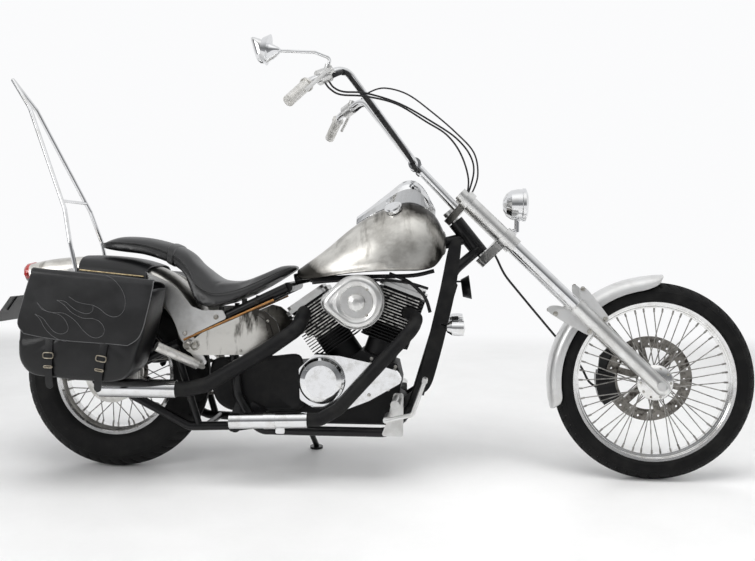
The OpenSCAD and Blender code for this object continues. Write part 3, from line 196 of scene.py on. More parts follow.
world = bpy.data.worlds.new("studio")
world.use_nodes = True
bpy.context.scene.world = world
tree = world.node_tree
seen = tree.nodes["Background"]
fill_light = tree.nodes.new("ShaderNodeBackground")
fill_light.inputs["Color"].default_value = (0.95, 0.97, 1, 1)
fill_light.inputs["Strength"].default_value = 0.5
rays = tree.nodes.new("ShaderNodeLightPath")
look = Tone(tree, tree.nodes.new("ShaderNodeTexCoord").outputs["Generated"])
front = look.along((0, 1, 0)).step(0.25, -0.30)
height = look.along((0, 0, 1))
room = height.ramp((0.0, (0.30, 0.30, 0.31)), (0.22, (0.16, 0.165, 0.17)), (0.40, (0.34, 0.345, 0.35)),
                   (0.62, (0.62, 0.625, 0.63)), (0.86, (1.25, 1.25, 1.25)))
mirrored = front.mix((0.86, 0.865, 0.875, 1), room)
shown = Tone(tree, rays.outputs["Is Camera Ray"]).mix(mirrored, white)
tree.links.new(shown.socket, seen.inputs["Color"])
direct = Tone(tree, rays.outputs["Is Camera Ray"]) + Tone(tree, rays.outputs["Is Glossy Ray"])
direct = direct + Tone(tree, rays.outputs["Is Transmission Ray"])
blend(tree, direct, fill_light, seen, "World Output")

for name, spot, target, size, power in [
        ("box_over", (0.2, -0.9, 3.4), (0.1, 0, 0.5), (3.6, 1.8), 85),
        ("box_left", (-3.0, -3.0, 2.2), (-0.3, 0, 0.6), (1.8, 1.8), 42),
        ("box_right", (3.2, -2.6, 2.0), (0.5, 0, 0.6), (1.6, 1.6), 34),
        ("box_behind", (0.0, 3.4, 2.6), (0, 0, 0.6), (3.0, 1.2), 35)]:
    lamp = bpy.data.lights.new(name, "AREA")
    lamp.shape = "RECTANGLE"
    lamp.size, lamp.size_y = size
    lamp.energy = power
    light = bpy.data.objects.new(name, lamp)
    light.location = spot
    light.rotation_euler = (Vector(target) - Vector(spot)).to_track_quat("-Z", "Y").to_euler()
    light.visible_camera = False
    light.visible_glossy = name == "box_left"
    bpy.context.scene.collection.objects.link(light)

# Frame, swing arm and small black brackets: welded steel tube under gloss black paint, with
# dust in the corners and a fine orange peel.


def dress(material, *names):
    """Gives whole solids of the frame this finish."""
    for each in names:
        for held in nodes[each].material_slots:
            held.material = material


def patchy(name, patch, span, clean, soiled, rough, grain=None, **fixed):
    """A finish of two colours in soft patches, rougher where it is soiled, with a fine grain."""
    made, place, lay = finish(name, **fixed)
    soil = place.noise(*patch).step(*span)
    lay(Base_Color=soil.mix((*clean, 1), (*soiled, 1)), Roughness=soil * rough[1] + rough[0])
    if grain:
        lay(Normal=place.noise(*grain[:2]).bump(*grain[2:]))
    return made


black_paint = patchy("black_paint", (14, 4, 0.65), (0.45, 0.75), (0.003, 0.003, 0.0035),
                     (0.012, 0.0118, 0.011), rough=(0.28, 0.25), grain=(380, 2, 0.05, 0.0004),
                     Coat_Weight=0.25, Coat_Roughness=0.12, Specular_IOR_Level=0.2)
dress(black_paint, "frame", "swing_arm", "side_stand", "brake_caliper", "horn")
satin_black = patchy("satin_black", (22, 4, 0.6), (0.4, 0.8), (0.004, 0.004, 0.0045),
                     (0.014, 0.0138, 0.013), rough=(0.5, 0.2), grain=(900, 2, 0.12, 0.0004),
                     Specular_IOR_Level=0.22)
dress(satin_black, "radiator", "exhaust_headers")

# Engine: cast cases in wrinkle black, black cylinders whose fin edges are machined bright,
# satin rocker covers, and chromed outer covers. The fork, the controls and the struts of the
# rear fender are in the same satin metal, and the bars and lamps in the same chrome.
crank = parked(884, 0, 299)
wrinkle, place, lay = finish("wrinkle_black", Specular_IOR_Level=0.22)
grain = place.noise(420, 3, 0.6)
dust = place.noise(12, 4, 0.6).step(0.45, 0.8)
lay(Base_Color=dust.mix((0.004, 0.004, 0.0045, 1), (0.015, 0.0145, 0.0135, 1)),
    Roughness=grain.step(0.3, 0.7, 0.42, 0.62), Normal=grain.bump(0.35, 0.0006))
dress(wrinkle, "engine_cases")

finned, place, lay = finish("finned_black", Specular_IOR_Level=0.25)
edge = None
# The bright rim is the outermost millimetre of each fin, above the foot of its cylinder
for bank in (-35, 20):
    slope = math.radians(bank)
    up = upright @ Vector((math.sin(slope), 0, math.cos(slope)))
    fore = upright @ Vector((math.cos(slope), 0, -math.sin(slope)))
    height = place.along(up, crank)
    side = place.along(upright @ Vector((0, 1, 0)), crank).math("ABSOLUTE")
    length = place.along(fore, crank).math("ABSOLUTE")
    rim_here = side.step(0.0790, 0.0796).math("MAXIMUM", length.step(0.0832, 0.0838))
    here = length.step(0.0846, 0.0850, 1, 0) * side.step(0.0806, 0.081, 1, 0) * height.step(0.225, 0.235)
    edge = rim_here * here if edge is None else edge.math("MAXIMUM", rim_here * here)
edge = edge * place.noise(70, 3).step(0.3, 0.6)
lay(Base_Color=edge.mix((0.004, 0.004, 0.0045, 1), (0.74, 0.73, 0.70, 1)), Metallic=edge,
    Roughness=edge * -0.2 + 0.5, Normal=place.noise(600, 2).bump(0.1, 0.0004))
dress(finned, "cylinders")

satin_metal = patchy("satin_metal", (18, 4, 0.6), (0.3, 0.75), (0.78, 0.78, 0.77), (0.60, 0.595, 0.58),
                     rough=(0.30, 0.1), grain=(700, 2, 0.06, 0.0003), Metallic=1.0)
dress(satin_metal, "rocker_covers", "foot_controls", "bar_controls", "front_axle", "fork_yokes",
      "air_cleaner", "fork_sliders", "fork_covers", "fender_struts")
chrome = patchy("chrome", (24, 4, 0.65), (0.42, 0.8), (0.80, 0.805, 0.815), (0.66, 0.655, 0.64),
                rough=(0.07, 0.10), Metallic=1.0)
dress(chrome, "engine_covers", "mufflers", "tank_console", "headlight", "sissy_bar",
      "handlebar", "bar_risers", "rear_mirror", "front_signals", "fork_tubes")

# Fuel tank: bare sheet steel, brushed by hand under clear lacquer, with dark smoky patches, painted
# shade towards its outline and a folded seam along its lower edge. It sits on the frame's backbone.


def eased(rows, steps):
    """Rows drawn out into a smooth curve through all of them."""
    out = []
    for i in range(len(rows) - 1):
        a, b, c, d = (rows[min(max(k, 0), len(rows) - 1)] for k in (i - 1, i, i + 1, i + 2))
        for s in range(steps):
            t = s / steps
            out.append([0.5 * (2 * q + (r - p) * t + (2 * p - 5 * q + 4 * r - u) * t * t
                               + (3 * q - p - 3 * r + u) * t ** 3)
                        for p, q, r, u in zip(a, b, c, d)])
    out.append(list(rows[-1]))
    return out


def loft(piece_name, rings, material=None, caps=True, turn=30):
    """A skin through rings of upright points that all have one count."""
    count = len(rings[0])
    faces = []
    for i in range(len(rings) - 1):
        for j in range(count):
            k = (j + 1) % count
            faces.append((i * count + j, i * count + k, (i + 1) * count + k, (i + 1) * count + j))
    if caps:
        faces.append(tuple(range(count)))
        faces.append(tuple(range((len(rings) - 1) * count, len(rings) * count)))
    mesh = bpy.data.meshes.new(piece_name)
    mesh.from_pydata([parked(*p) for ring in rings for p in ring], [], faces)
    piece = settle(piece_name, mesh, turn)
    if material:
        piece.data.materials.append(material)
    return piece


def brush(name, centre, reach, lift):
    """Brushed steel with random dark smoke and streaks, and painted shade past an oval on its side."""
    made, place, lay = finish(name, Metallic=1.0)
    hair = place.noise(1.0, 2, 0.6, stretch=(26, 700, 700))
    smoke = place.noise(5.2, 5, 0.62, stretch=(1.0, 1.4, 1.1)).step(0.42, 0.66)
    streak = place.noise(14, 4, 0.6, stretch=(1.6, 0.3, 0.45)).step(0.56, 0.74)
    # Painted shade: past an oval on the side the steel is darkened towards its outline, where it curves away.
    middle = parked(*centre)
    across = place.along((1, 0, 0), middle) / (reach[0] / 1000)
    height = place.along((0, 0, 1), middle) / (reach[1] / 1000)
    edge = (across * across + height * height).math("SQRT") + place.noise(8, 4, 0.6) * 0.5
    dark = (edge.step(1.08, 1.42) + smoke * 0.4 + streak * lift).math("MINIMUM", 1.0)
    lay(Base_Color=dark.ramp((0, (0.74, 0.725, 0.685)), (0.4, (0.42, 0.405, 0.375)),
                             (1, (0.05, 0.047, 0.042))),
        Roughness=hair.step(0.3, 0.7, 0.28, 0.44), Normal=hair.bump(0.07, 0.0003))
    return made


brushed = brush("brushed_steel", (872, -150, 796), (272, 120), 0.4)
dress(brushed, "fuel_tank")
dress(brush("brushed_cover", (385, -150, 490), (165, 105), 1.0), "side_covers")
fender_steel = brush("brushed_fender", (60, -60, 640), (470, 190), 0.5)
dress(fender_steel, "rear_fender")

tank_rows = [[644, 672, 702, 44], [672, 666, 722, 66], [740, 676, 772, 100], [829, 690, 846, 134],
             [918, 698, 903, 156], [1010, 701, 936, 164], [1066, 703, 924, 156], [1112, 716, 886, 128],
             [1140, 752, 836, 84]]
tank_fine = eased(tank_rows, 6)


def superround(half, base, top, power, steps):
    """Half ring over the top, from the left edge to the right one."""
    ring = []
    for i in range(steps + 1):
        a = math.pi * i / steps
        c, s = math.cos(a), math.sin(a)
        across = math.copysign(abs(c) ** (2 / power), c) * half
        ring.append((across, base + (top - base) * abs(s) ** (2 / power)))
    return ring


def tank_ring(x, base, top, half, grow=1.0):
    """One section of the tank, with the folded seam standing out at its lower edge."""
    mid = (base + top) / 2
    over = superround(half, base + 9, top, 2.3, 40)
    under = [(-half - 2.5, base + 7), (-half - 2.5, base + 3), (-half + 3, base), (-half * 0.5, base + 1),
             (half * 0.5, base + 1), (half - 3, base), (half + 2.5, base + 3), (half + 2.5, base + 7)]
    return [(x, y * grow, mid + (z - mid) * grow) for y, z in over + under]


def rounded_off(ring_of, fine, before, after, **how):
    """Sections along a row, with shrunken ones past both ends: how far past, and what share."""
    rings = [ring_of(fine[0][0] - past, *fine[0][1:], grow=share, **how) for past, share in before]
    rings += [ring_of(*row, **how) for row in fine]
    rings += [ring_of(fine[-1][0] + past, *fine[-1][1:], grow=share, **how) for past, share in after]
    return rings


rings = rounded_off(tank_ring, tank_fine, [(5, 0.6), (3, 0.88)], [(5, 0.9), (9, 0.62)])
tank = loft("fuel_tank_skin", rings, brushed, turn=50)
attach(tank, "chassis")
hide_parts("fuel_tank")

# Rear fender: one sheet of the same brushed steel, pressed into a deep channel and rolled
# over the wheel. It hangs between the two struts.
fender_rows = [[334, 470], [320, 530], [288, 592], [238, 648], [170, 694], [80, 724], [-30, 737],
               [-140, 738], [-230, 729], [-296, 715]]
fender_fine = eased(fender_rows, 6)
fender_steps = [(1, 92), (1, 66), (1, 44), (0.985, 33), (0.95, 24), (0.9, 16), (0.82, 10), (0.7, 6),
                (0.55, 3), (0.3, 0.8), (0, 0)]
FENDER_HALF = 92
FENDER_SHEET = 2.5
fender_half = [[share * FENDER_HALF, drop] for share, drop in fender_steps]
fender_line = fender_half + [[-share, drop] for share, drop in fender_half[-2::-1]]
rings = []
for i, (x, z) in enumerate(fender_fine):
    ahead = fender_fine[min(i + 1, len(fender_fine) - 1)]
    behind = fender_fine[max(i - 1, 0)]
    run = Vector((ahead[0] - behind[0], ahead[1] - behind[1])).normalized()
    out = Vector((run.y, -run.x))
    if out.dot(Vector((x, z - REAR_AXLE[1]))) < 0:
        out = -out
    ring = [(x - out.x * drop, y, z - out.y * drop) for y, drop in fender_line]
    for y, drop in fender_line[::-1]:
        inside = max(drop, FENDER_SHEET)
        ring.append((x - out.x * inside, y * (1 - FENDER_SHEET / FENDER_HALF), z - out.y * inside))
    rings.append(ring)
fender = loft("rear_fender_skin", rings, fender_steel, turn=50)
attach(fender, "chassis")
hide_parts("rear_fender")

# Seat: a two-step moulded pad under black leather, crowned along the middle and filled tight,
# with a welt along each side and a strap across at the step.
leather, place, lay = finish("seat_leather", Specular_IOR_Level=0.6)
grain = place.noise(1.0, 4, 0.6, stretch=(520, 520, 520))
cells = place.node("ShaderNodeTexVoronoi", {"Vector": place, "Scale": 620.0})
soft = place.noise(9, 4, 0.6).step(0.35, 0.75)
lay(Base_Color=soft.mix((0.003, 0.003, 0.0033, 1), (0.008, 0.008, 0.0087, 1)),
    Roughness=soft * 0.12 + grain * 0.1 + 0.24,
    Normal=(cells * 0.6 + grain * 0.4).bump(0.16, 0.0007))
seat_rows = [[-46, 768, 786, 52], [-20, 762, 800, 76], [30, 755, 812, 92], [118, 744, 806, 98],
             [205, 716, 782, 102], [258, 682, 752, 108], [286, 640, 722, 122], [312, 584, 700, 140],
             [370, 569, 660, 152], [450, 594, 656, 148], [520, 628, 680, 122], [590, 668, 710, 84],
             [634, 695, 715, 46]]
seat_fine = eased(seat_rows, 5)


SEAT_POWER = 2.6
SEAT_LIP = 12


def seat_ring(x, base, top, half, grow=1.0, out=0.0):
    """One section of the pad, moved out by so much and grown about its middle."""
    mid = (base + top) / 2
    ring = superround(half + out, base + SEAT_LIP, top + out, SEAT_POWER, 36)
    ring += [(-half * t, base + 8 * abs(t) ** 6 - out * 0.5) for t in (0.97, 0.8, 0.5, 0, -0.5, -0.8, -0.97)]
    return [(x, y * grow, mid + (z - mid) * grow) for y, z in ring]


rings = rounded_off(seat_ring, seat_fine, [(3, 0.5), (1, 0.82)], [(2, 0.8), (4, 0.5)], out=-3)
seat = loft("seat_pad", rings, turn=180)


def settled(piece):
    """The piece with its modifiers worked into its mesh."""
    graph = bpy.context.evaluated_depsgraph_get()
    graph.update()
    mesh = bpy.data.meshes.new_from_object(piece.evaluated_get(graph))
    piece.modifiers.clear()
    piece.data = mesh


def fill(piece, voxel, most):
    """Remeshes a pad and lets cloth swell it under pressure, by no more than most."""
    even_mesh = piece.modifiers.new("even", "REMESH")
    even_mesh.mode = "VOXEL"
    even_mesh.voxel_size = voxel
    settled(piece)
    rest = [vertex.co.copy() for vertex in piece.data.vertices]
    held = piece.vertex_groups.new(name="held")
    held.add([v.index for v in piece.data.vertices if v.normal.z < -0.55], 1.0, "REPLACE")
    cloth = piece.modifiers.new("swell", "CLOTH")
    cloth.settings.use_pressure = True
    cloth.settings.uniform_pressure_force = 4
    cloth.settings.vertex_group_mass = "held"
    cloth.settings.effector_weights.gravity = 0
    last = 20
    cloth.point_cache.frame_start = 1
    cloth.point_cache.frame_end = last
    for number in range(1, last + 1):
        bpy.context.scene.frame_set(number)
    graph = bpy.context.evaluated_depsgraph_get()
    swollen = piece.evaluated_get(graph).to_mesh()
    moved = [vertex.co.copy() for vertex in swollen.vertices]
    piece.evaluated_get(graph).to_mesh_clear()
    piece.modifiers.clear()
    bpy.context.scene.frame_set(1)
    for vertex, was, now in zip(piece.data.vertices, rest, moved):
        step = now - was
        vertex.co = was + (step if step.length < most else step * (most / step.length))
    ease = piece.modifiers.new("ease", "SMOOTH")
    ease.iterations = 6
    finer = piece.modifiers.new("finer", "SUBSURF")
    finer.levels = finer.render_levels = 1
    settled(piece)
    for face in piece.data.polygons:
        face.use_smooth = True


fill(seat, 0.006, 0.006)
seat.data.materials.clear()
seat.data.materials.append(leather)
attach(seat, "chassis")
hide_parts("seat")

# Lamp and plate at the back: a moulded red lens on a black stem, and a blank plate of painted
# sheet with a black back.
soot = (0.012, 0.012, 0.012, 1)
face = max((f for f in nodes["number_plate"].data.polygons if f.normal.x < 0), key=lambda f: f.area)
blank, place, lay = finish("blank_plate", Roughness=0.4)
back = place.along(face.normal, face.center).step(-0.0006, -0.0014)
dirt = (back + place.noise(30) * 0.1).math("MINIMUM", 1.0)
lay(Base_Color=dirt.mix((0.80, 0.80, 0.79, 1), soot))
dress(blank, "number_plate")

red_lens, place, lay = finish("red_lens", Coat_Weight=1.0, Transmission_Weight=0.35, IOR=1.49)
rib = place.node("ShaderNodeTexWave", {"Vector": place, "Scale": 60.0, "Distortion": 0.0})
stem = place.along((0, 0, 1), parked(-300, 0, 664)).step(0.004, -0.004)
red = place.noise(30).mix((0.50, 0.015, 0.012, 1), (0.62, 0.03, 0.02, 1))
lay(Base_Color=stem.mix(red, soot),
    Roughness=place.noise(20).step(0.3, 0.8, 0.10, 0.2), Normal=rib.bump(0.2, 0.0006))
dress(red_lens, "tail_lamp")

# Saddlebags: black leather bags, open at the top, that hang from a wide yoke over the fender.
# Their corners are soft and their bottoms sag; a shiny band is sewn along the foot of each.
bag_leather, place, lay = finish("bag_leather", Specular_IOR_Level=0.42)
cells = place.node("ShaderNodeTexVoronoi", {"Vector": place, "Scale": 420.0})
scuff = place.noise(7, 5, 0.65).step(0.45, 0.75)
lay(Base_Color=scuff.mix((0.003, 0.003, 0.0034, 1), (0.010, 0.010, 0.0112, 1)),
    Roughness=scuff * 0.15 + 0.32, Normal=(cells + place.noise(30, 4) * 1.5).bump(0.16, 0.0009))
shiny_vinyl, place, lay = finish("shiny_vinyl", Coat_Weight=0.8, Coat_Roughness=0.1)
crease = place.noise(24, 4, 0.6, stretch=(1, 1, 2.2))
lay(Base_Color=crease.mix((0.012, 0.012, 0.016, 1), (0.030, 0.030, 0.038, 1)),
    Roughness=crease.step(0.3, 0.7, 0.10, 0.24), Normal=crease.bump(0.45, 0.004))


def even(line, count, closed=True):
    """The corners of a line as evenly spaced points, softly rounded."""
    path = [Vector(p) for p in line]
    if closed:
        path.append(path[0].copy())
    spans = [(b - a).length for a, b in zip(path, path[1:])]
    total = sum(spans)
    out = []
    for k in range(count):
        left = total * k / (count if closed else count - 1)
        i = 0
        while i < len(spans) - 1 and left > spans[i]:
            left -= spans[i]
            i += 1
        out.append(path[i].lerp(path[i + 1], min(1, left / spans[i])))
    for turn in range(6):
        held = [p.copy() for p in out]
        for k in range(0 if closed else 1, count if closed else count - 1):
            out[k] = held[k] * 0.5 + (held[k - 1] + held[(k + 1) % count]) * 0.25
    return out


def within(value):
    """The value, or the nearer of nothing and one."""
    return max(0.0, min(1.0, value))


SIDES = ((-1, "right"), (1, "left"))
bag_line = even([(-158, 693), (-212, 510), (-212, 404), (-184, 362), (110, 344), (150, 368), (192, 480),
                 (230, 657)], 112)


def bag_top(x):
    """Height of the bags' upper edge, which falls toward the front."""
    return 690 - (x + 128) * 0.095


bag_mid = sum(bag_line, Vector((0, 0))) / len(bag_line)
# Depth from the middle of the machine, and share of the outline, of each ring of a bag
bag_depths = [(162, 0.30), (161, 0.65), (161, 0.90), (163, 0.97), (170, 0.995), (190, 1.0), (235, 1.012),
              (280, 1.012), (312, 1.0), (324, 0.985), (330, 0.955), (332, 0.90), (333, 0.70), (333.5, 0.42),
              (333.5, 0.15)]
for side, name in SIDES:
    rings = []
    for depth, share in bag_depths:
        ring = []
        for p in bag_line:
            q = bag_mid + (p - bag_mid) * share
            sag = 7 * within((430 - q.y) / 90) * math.sin(math.pi * within((q.x + 206) / 352))
            swell = 0
            if depth > 300 and q.y < 470:
                swell = 5 * math.sin(math.pi * within((q.y - 344) / 300))
            wave = 2.5 * noise.noise(Vector((q.x / 60, q.y / 60, depth / 80 + side)))
            ring.append((q.x + wave, side * (depth + swell), q.y - sag + wave * 0.6))
        rings.append(ring)
    bag = loft("saddlebag_" + name, rings, turn=180)
    work = bmesh.new()
    work.from_mesh(bag.data)
    back = STANCE.inverted()
    lid = []
    for face in work.faces:
        p = back @ face.calc_center_median() * 1000
        if p.z > bag_top(p.x) - 16 and 172 < abs(p.y) < 322:
            lid.append(face)
        face.material_index = 1 if p.z < 412 - (p.x + 206) * 0.075 and abs(p.y) > 326 else 0
    bmesh.ops.delete(work, geom=lid, context="FACES")
    work.to_mesh(bag.data)
    work.free()
    wall = bag.modifiers.new("wall", "SOLIDIFY")
    wall.thickness = 0.004
    wall.offset = -1
    settled(bag)
    bag.data.materials.clear()
    bag.data.materials.append(bag_leather)
    bag.data.materials.append(shiny_vinyl)
    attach(bag, "chassis")
    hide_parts("saddlebags")

# Yoke of the saddlebags: a wide leather panel laid over the fender and sewn to the inner
# edge of both bags, which it carries.


def crest(x):
    """Height of the rear fender's crest over x."""
    for (xa, za), (xb, zb) in zip(fender_fine, fender_fine[1:]):
        if xb <= x <= xa:
            return za + (zb - za) * (x - xa) / (xb - xa)
    return fender_fine[-1][1]


rings = []
for i in range(25):
    x = -88 + 232 * i / 24
    top = crest(x) + 4.5
    edge_z = bag_top(x) - 24
    across = [(164, edge_z - 8), (158, edge_z + 6), (150, max(edge_z + 14, top - 52)),
              (139, max(edge_z + 24, top - 26)), (112, top - 8), (74, top - 1), (36, top), (0, top)]
    across = eased(across, 3)
    over = across + [[-y, z] for y, z in across[-2::-1]]
    rings.append([(x, y, z) for y, z in over] + [(x, y * 0.985, z - 3) for y, z in over[::-1]])
yoke = loft("saddlebag_yoke", rings, bag_leather, turn=60)
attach(yoke, "chassis")
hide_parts("saddlebags")

# Flaps of the saddlebags: thick leather that folds over the top and down the front of each
# bag, edged with a grey cord and sewn with a flame pattern in grey thread.
grey_thread, place, lay = finish("grey_thread", Roughness=0.7)
lay(Base_Color=place.noise(300).ramp((0, (0.05, 0.05, 0.052)), (1, (0.13, 0.13, 0.132))))
left_edge = even([(-163, 706), (-185, 632), (-206, 552), (-211, 524), (-188, 496)], 33, closed=False)
right_edge = even([(233, 670), (218, 596), (200, 520), (184, 484), (150, 462)], 33, closed=False)


# Shares of the way from hinge to foot where the flat top ends and where the front begins, the
# radius of the bend between them, and the depth of the front
TOP_ENDS, FRONT_BEGINS, BEND, FACE = 0.34, 0.46, 18, 340


def flap_point(u, v):
    """Point of the flap: u from the rear edge to the front one, v from the hinge to the foot."""
    lift = swell = row_at = drop = 0
    foot = max(0.0, (v - FRONT_BEGINS) / (1 - FRONT_BEGINS))
    if v < TOP_ENDS:
        t = v / TOP_ENDS
        depth = 162 + 160 * t
        lift = 1.5 * noise.noise(Vector((u * 5, v * 4, 9))) - 26 * (1 - t)
    elif v < FRONT_BEGINS:
        t = (v - TOP_ENDS) / (FRONT_BEGINS - TOP_ENDS) * math.pi / 2
        depth, drop = FACE - BEND + BEND * math.sin(t), BEND * (1 - math.cos(t))
    else:
        depth, drop, row_at = FACE, BEND * (1 - foot), foot * (len(left_edge) - 1)
    if v > 0.4:
        swell = 3.5 * math.sin(math.pi * u) * math.sin(math.pi * min(1, foot))
        swell += 1.8 * noise.noise(Vector((u * 4, v * 5, 3)))
    i = min(int(row_at), len(left_edge) - 2)
    a = left_edge[i].lerp(left_edge[i + 1], row_at - i)
    b = right_edge[i].lerp(right_edge[i + 1], row_at - i)
    if v < TOP_ENDS:
        a = a + Vector((24 * (1 - t), 0))
        b = b - Vector((70 * (1 - t), 0))
    p = a.lerp(b, u)
    droop = 12 * foot ** 3 * math.sin(math.pi * u) * (1 - u)
    return Vector((p.x, depth + swell, p.y - drop - droop + lift))


# Lines of the flame on a drawing of the flap, in steps of half a millimetre across and down
flame_lines = [
    [(690, 250), (740, 275), (790, 330), (812, 390), (805, 450), (770, 485), (730, 490), (690, 475),
     (650, 445), (606, 424)],
    [(606, 424), (604, 455), (575, 473), (530, 468), (480, 445), (425, 405), (372, 398)],
    [(452, 376), (500, 404), (550, 416), (606, 424)],
    [(372, 398), (420, 425), (470, 470), (540, 500), (600, 502), (650, 520), (678, 560), (670, 595),
     (630, 615), (585, 605), (540, 570), (500, 525), (460, 495), (410, 472), (340, 470), (290, 455),
     (240, 412)],
    [(240, 412), (275, 452), (330, 468), (385, 482), (422, 510), (445, 555), (430, 585), (390, 595),
     (350, 580), (310, 540), (280, 505), (226, 480)],
    [(226, 480), (260, 510), (290, 560), (330, 600), (375, 626), (430, 640)]]


def tube(piece_name, path, radius, sides, material):
    """A round cord of mesh along upright points."""
    path = [Vector(p) for p in path]
    turns = [2 * math.pi * k / sides for k in range(sides)]
    rings = []
    across = None
    for i, p in enumerate(path):
        run = (path[min(i + 1, len(path) - 1)] - path[max(i - 1, 0)]).normalized()
        if across is None:
            across = run.orthogonal().normalized()
        across = (across - run * across.dot(run)).normalized()
        other = run.cross(across)
        rings.append([p + radius * (math.cos(a) * across + math.sin(a) * other) for a in turns])
    return loft(piece_name, rings, material, turn=60)


columns, rows = 40, 56


def flap_height(x, z):
    """Depth of the flap's outer face at a place on its front."""
    nearest = None
    for row in range(26, rows + 1):
        v = row / rows
        rear, fore = flap_point(0, v), flap_point(1, v)
        p = flap_point(within((x - rear.x) / (fore.x - rear.x)), v)
        if nearest is None or abs(p.z - z) < abs(nearest.z - z):
            nearest = p
    return nearest.y


for side, name in SIDES:
    body = "flap_" + name
    outer = [[flap_point(u / columns, v / rows) for u in range(columns + 1)] for v in range(rows + 1)]
    rings = []
    for v, line in enumerate(outer):
        inner = []
        for u, p in enumerate(line):
            along = outer[min(v + 1, rows)][u] - outer[max(v - 1, 0)][u]
            inward = Vector((0, -along.z, along.y)).normalized()
            inner.append(p + inward * math.copysign(5, inward.dot(Vector((0, -1, -1)))))
        rings.append([(p.x, side * p.y, p.z) for p in line] + [(p.x, side * p.y, p.z) for p in inner[::-1]])
    flap = loft("bag_flap_skin_" + name, rings, bag_leather, turn=60)
    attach(flap, body)
    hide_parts("bag_" + body)
    rim_path = [flap_point(0, v / rows) for v in range(22, rows + 1)]
    rim_path += [flap_point(u / columns, 1) for u in range(1, columns + 1)]
    rim_path += [flap_point(1, v / rows) for v in range(rows - 1, 21, -1)]
    rim_path = [(p.x, side * (p.y - 2), p.z) for p in rim_path]
    piping = tube("flap_piping_" + name, rim_path, 2.2, 8, grey_thread)
    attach(piping, body)
    for k, line in enumerate(flame_lines):
        path = []
        for cx, cy in eased(line, 4):
            x, z = -147 + (cx - 233) * 0.503, 493 + (600 - cy) * 0.543
            path.append((x, side * (flap_height(x, z) + 0.6), z))
        sewn = tube("flame_thread_%s_%d" % (name, k), path, 0.8, 6, grey_thread)
        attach(sewn, body)

# Straps of the saddlebags: two on each bag, from under the flap to below the foot, each with
# a nickel roller buckle and a keeper.
nickel = patchy("worn_nickel", (60, 4), (0.35, 0.7), (0.42, 0.38, 0.31), (0.22, 0.19, 0.14),
                rough=(0.30, 0.2), Metallic=1.0)


def strap_out(t):
    """How far out a strap lies, from its top to its foot: it bulges over the bag."""
    return 335.5 + 9 * math.sin(math.pi * min(1, t * 1.05))


for side, name in SIDES:
    for k, (top, foot) in enumerate([((-104, 500), (-108, 318)), ((80, 492), (48, 310))]):
        top, foot = Vector(top), Vector(foot)
        along = (foot - top).normalized()
        across = Vector((-along.y, along.x))
        rings = []
        for i in range(31):
            t = i / 30
            p = top.lerp(foot, t)
            half = 12 if t < 0.93 else 12 * math.sqrt(max(0.02, 1 - ((t - 0.93) / 0.07) ** 2))
            out = strap_out(t) - 5 * max(0, t - 0.85) / 0.15
            a, b = p + across * half, p - across * half
            rings.append([(a.x, side * out, a.y), (p.x, side * (out + 0.8), p.y), (b.x, side * out, b.y),
                          (b.x, side * (out - 3), b.y), (a.x, side * (out - 3), a.y)])
        strap = loft("bag_strap_%s_%d" % (name, k), rings, bag_leather, turn=50)
        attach(strap, "chassis")
        for m, (share, reach, tall) in enumerate([(0.40, 17, 9), (0.60, 14.5, 3)]):
            p = top.lerp(foot, share)
            out = strap_out(share) + 2.6
            box = [p + across * reach * i + along * tall * j for i, j in ((1, 1), (-1, 1), (-1, -1), (1, -1))]
            ring_path = [(q.x, side * out, q.y) for q in even(box, 36)]
            buckle = tube("strap_buckle_%s_%d_%d" % (name, k, m), ring_path + ring_path[:1], 1.9, 8, nickel)
            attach(buckle, "chassis")

# Seat welts and strap: a sewn leather cord along each side of the pad, and the passenger
# strap that is drawn over it at the step.
for side, name in SIDES:
    path = []
    for x, base, top, half in seat_fine[2:-2]:
        a = math.radians(24)
        y = half * math.cos(a) ** (2 / SEAT_POWER)
        z = base + SEAT_LIP + (top - base - SEAT_LIP) * math.sin(a) ** (2 / SEAT_POWER)
        path.append((x, side * (y + 0.6), z))
    welt = tube("seat_welt_" + name, path, 1.7, 8, leather)
    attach(welt, "chassis")
strap_rows = [row for row in eased(seat_rows, 24) if 200 <= row[0] <= 226]
rings = [seat_ring(*row, out=5.0 if 0 < i < len(strap_rows) - 1 else 2.0)
         for i, row in enumerate(strap_rows)]
band = loft("seat_strap", rings, leather, turn=40)
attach(band, "chassis")

# Pegs, grips, rear brake, chain, sprocket and disc: cast alloy with a dull skin, and steel
# that is dark with oil and brake dust.
dull_alloy = patchy("dull_alloy", (30, 4, 0.65), (0.4, 0.75), (0.70, 0.69, 0.665), (0.46, 0.45, 0.42),
                    rough=(0.38, 0.15), grain=(500, 2, 0.1, 0.0004), Metallic=0.85)
dress(dull_alloy, "passenger_pegs", "grips", "rear_brake")
oiled_steel = patchy("oiled_steel", (40, 4, 0.65), (0.4, 0.7), (0.30, 0.285, 0.26), (0.06, 0.052, 0.045),
                     rough=(0.38, 0.25), grain=(300, 2, 0.1, 0.0004), Metallic=0.9)
dress(oiled_steel, "drive_chain", "rear_sprocket", "brake_disc")

# Wheels: rolled alloy rims with a hazy polish, laced to their hubs with plated steel spokes
# that have begun to tarnish.
alloy = patchy("polished_alloy", (26, 4, 0.6), (0.35, 0.8), (0.84, 0.84, 0.835), (0.70, 0.69, 0.67),
               rough=(0.16, 0.12), Metallic=1.0)
dress(alloy, "front_rim", "rear_rim")
lace = patchy("laced_steel", (50, 4, 0.6), (0.35, 0.75), (0.40, 0.39, 0.37), (0.16, 0.152, 0.14),
              rough=(0.32, 0.2), Metallic=0.9)
dress(lace, "front_hub", "rear_hub")

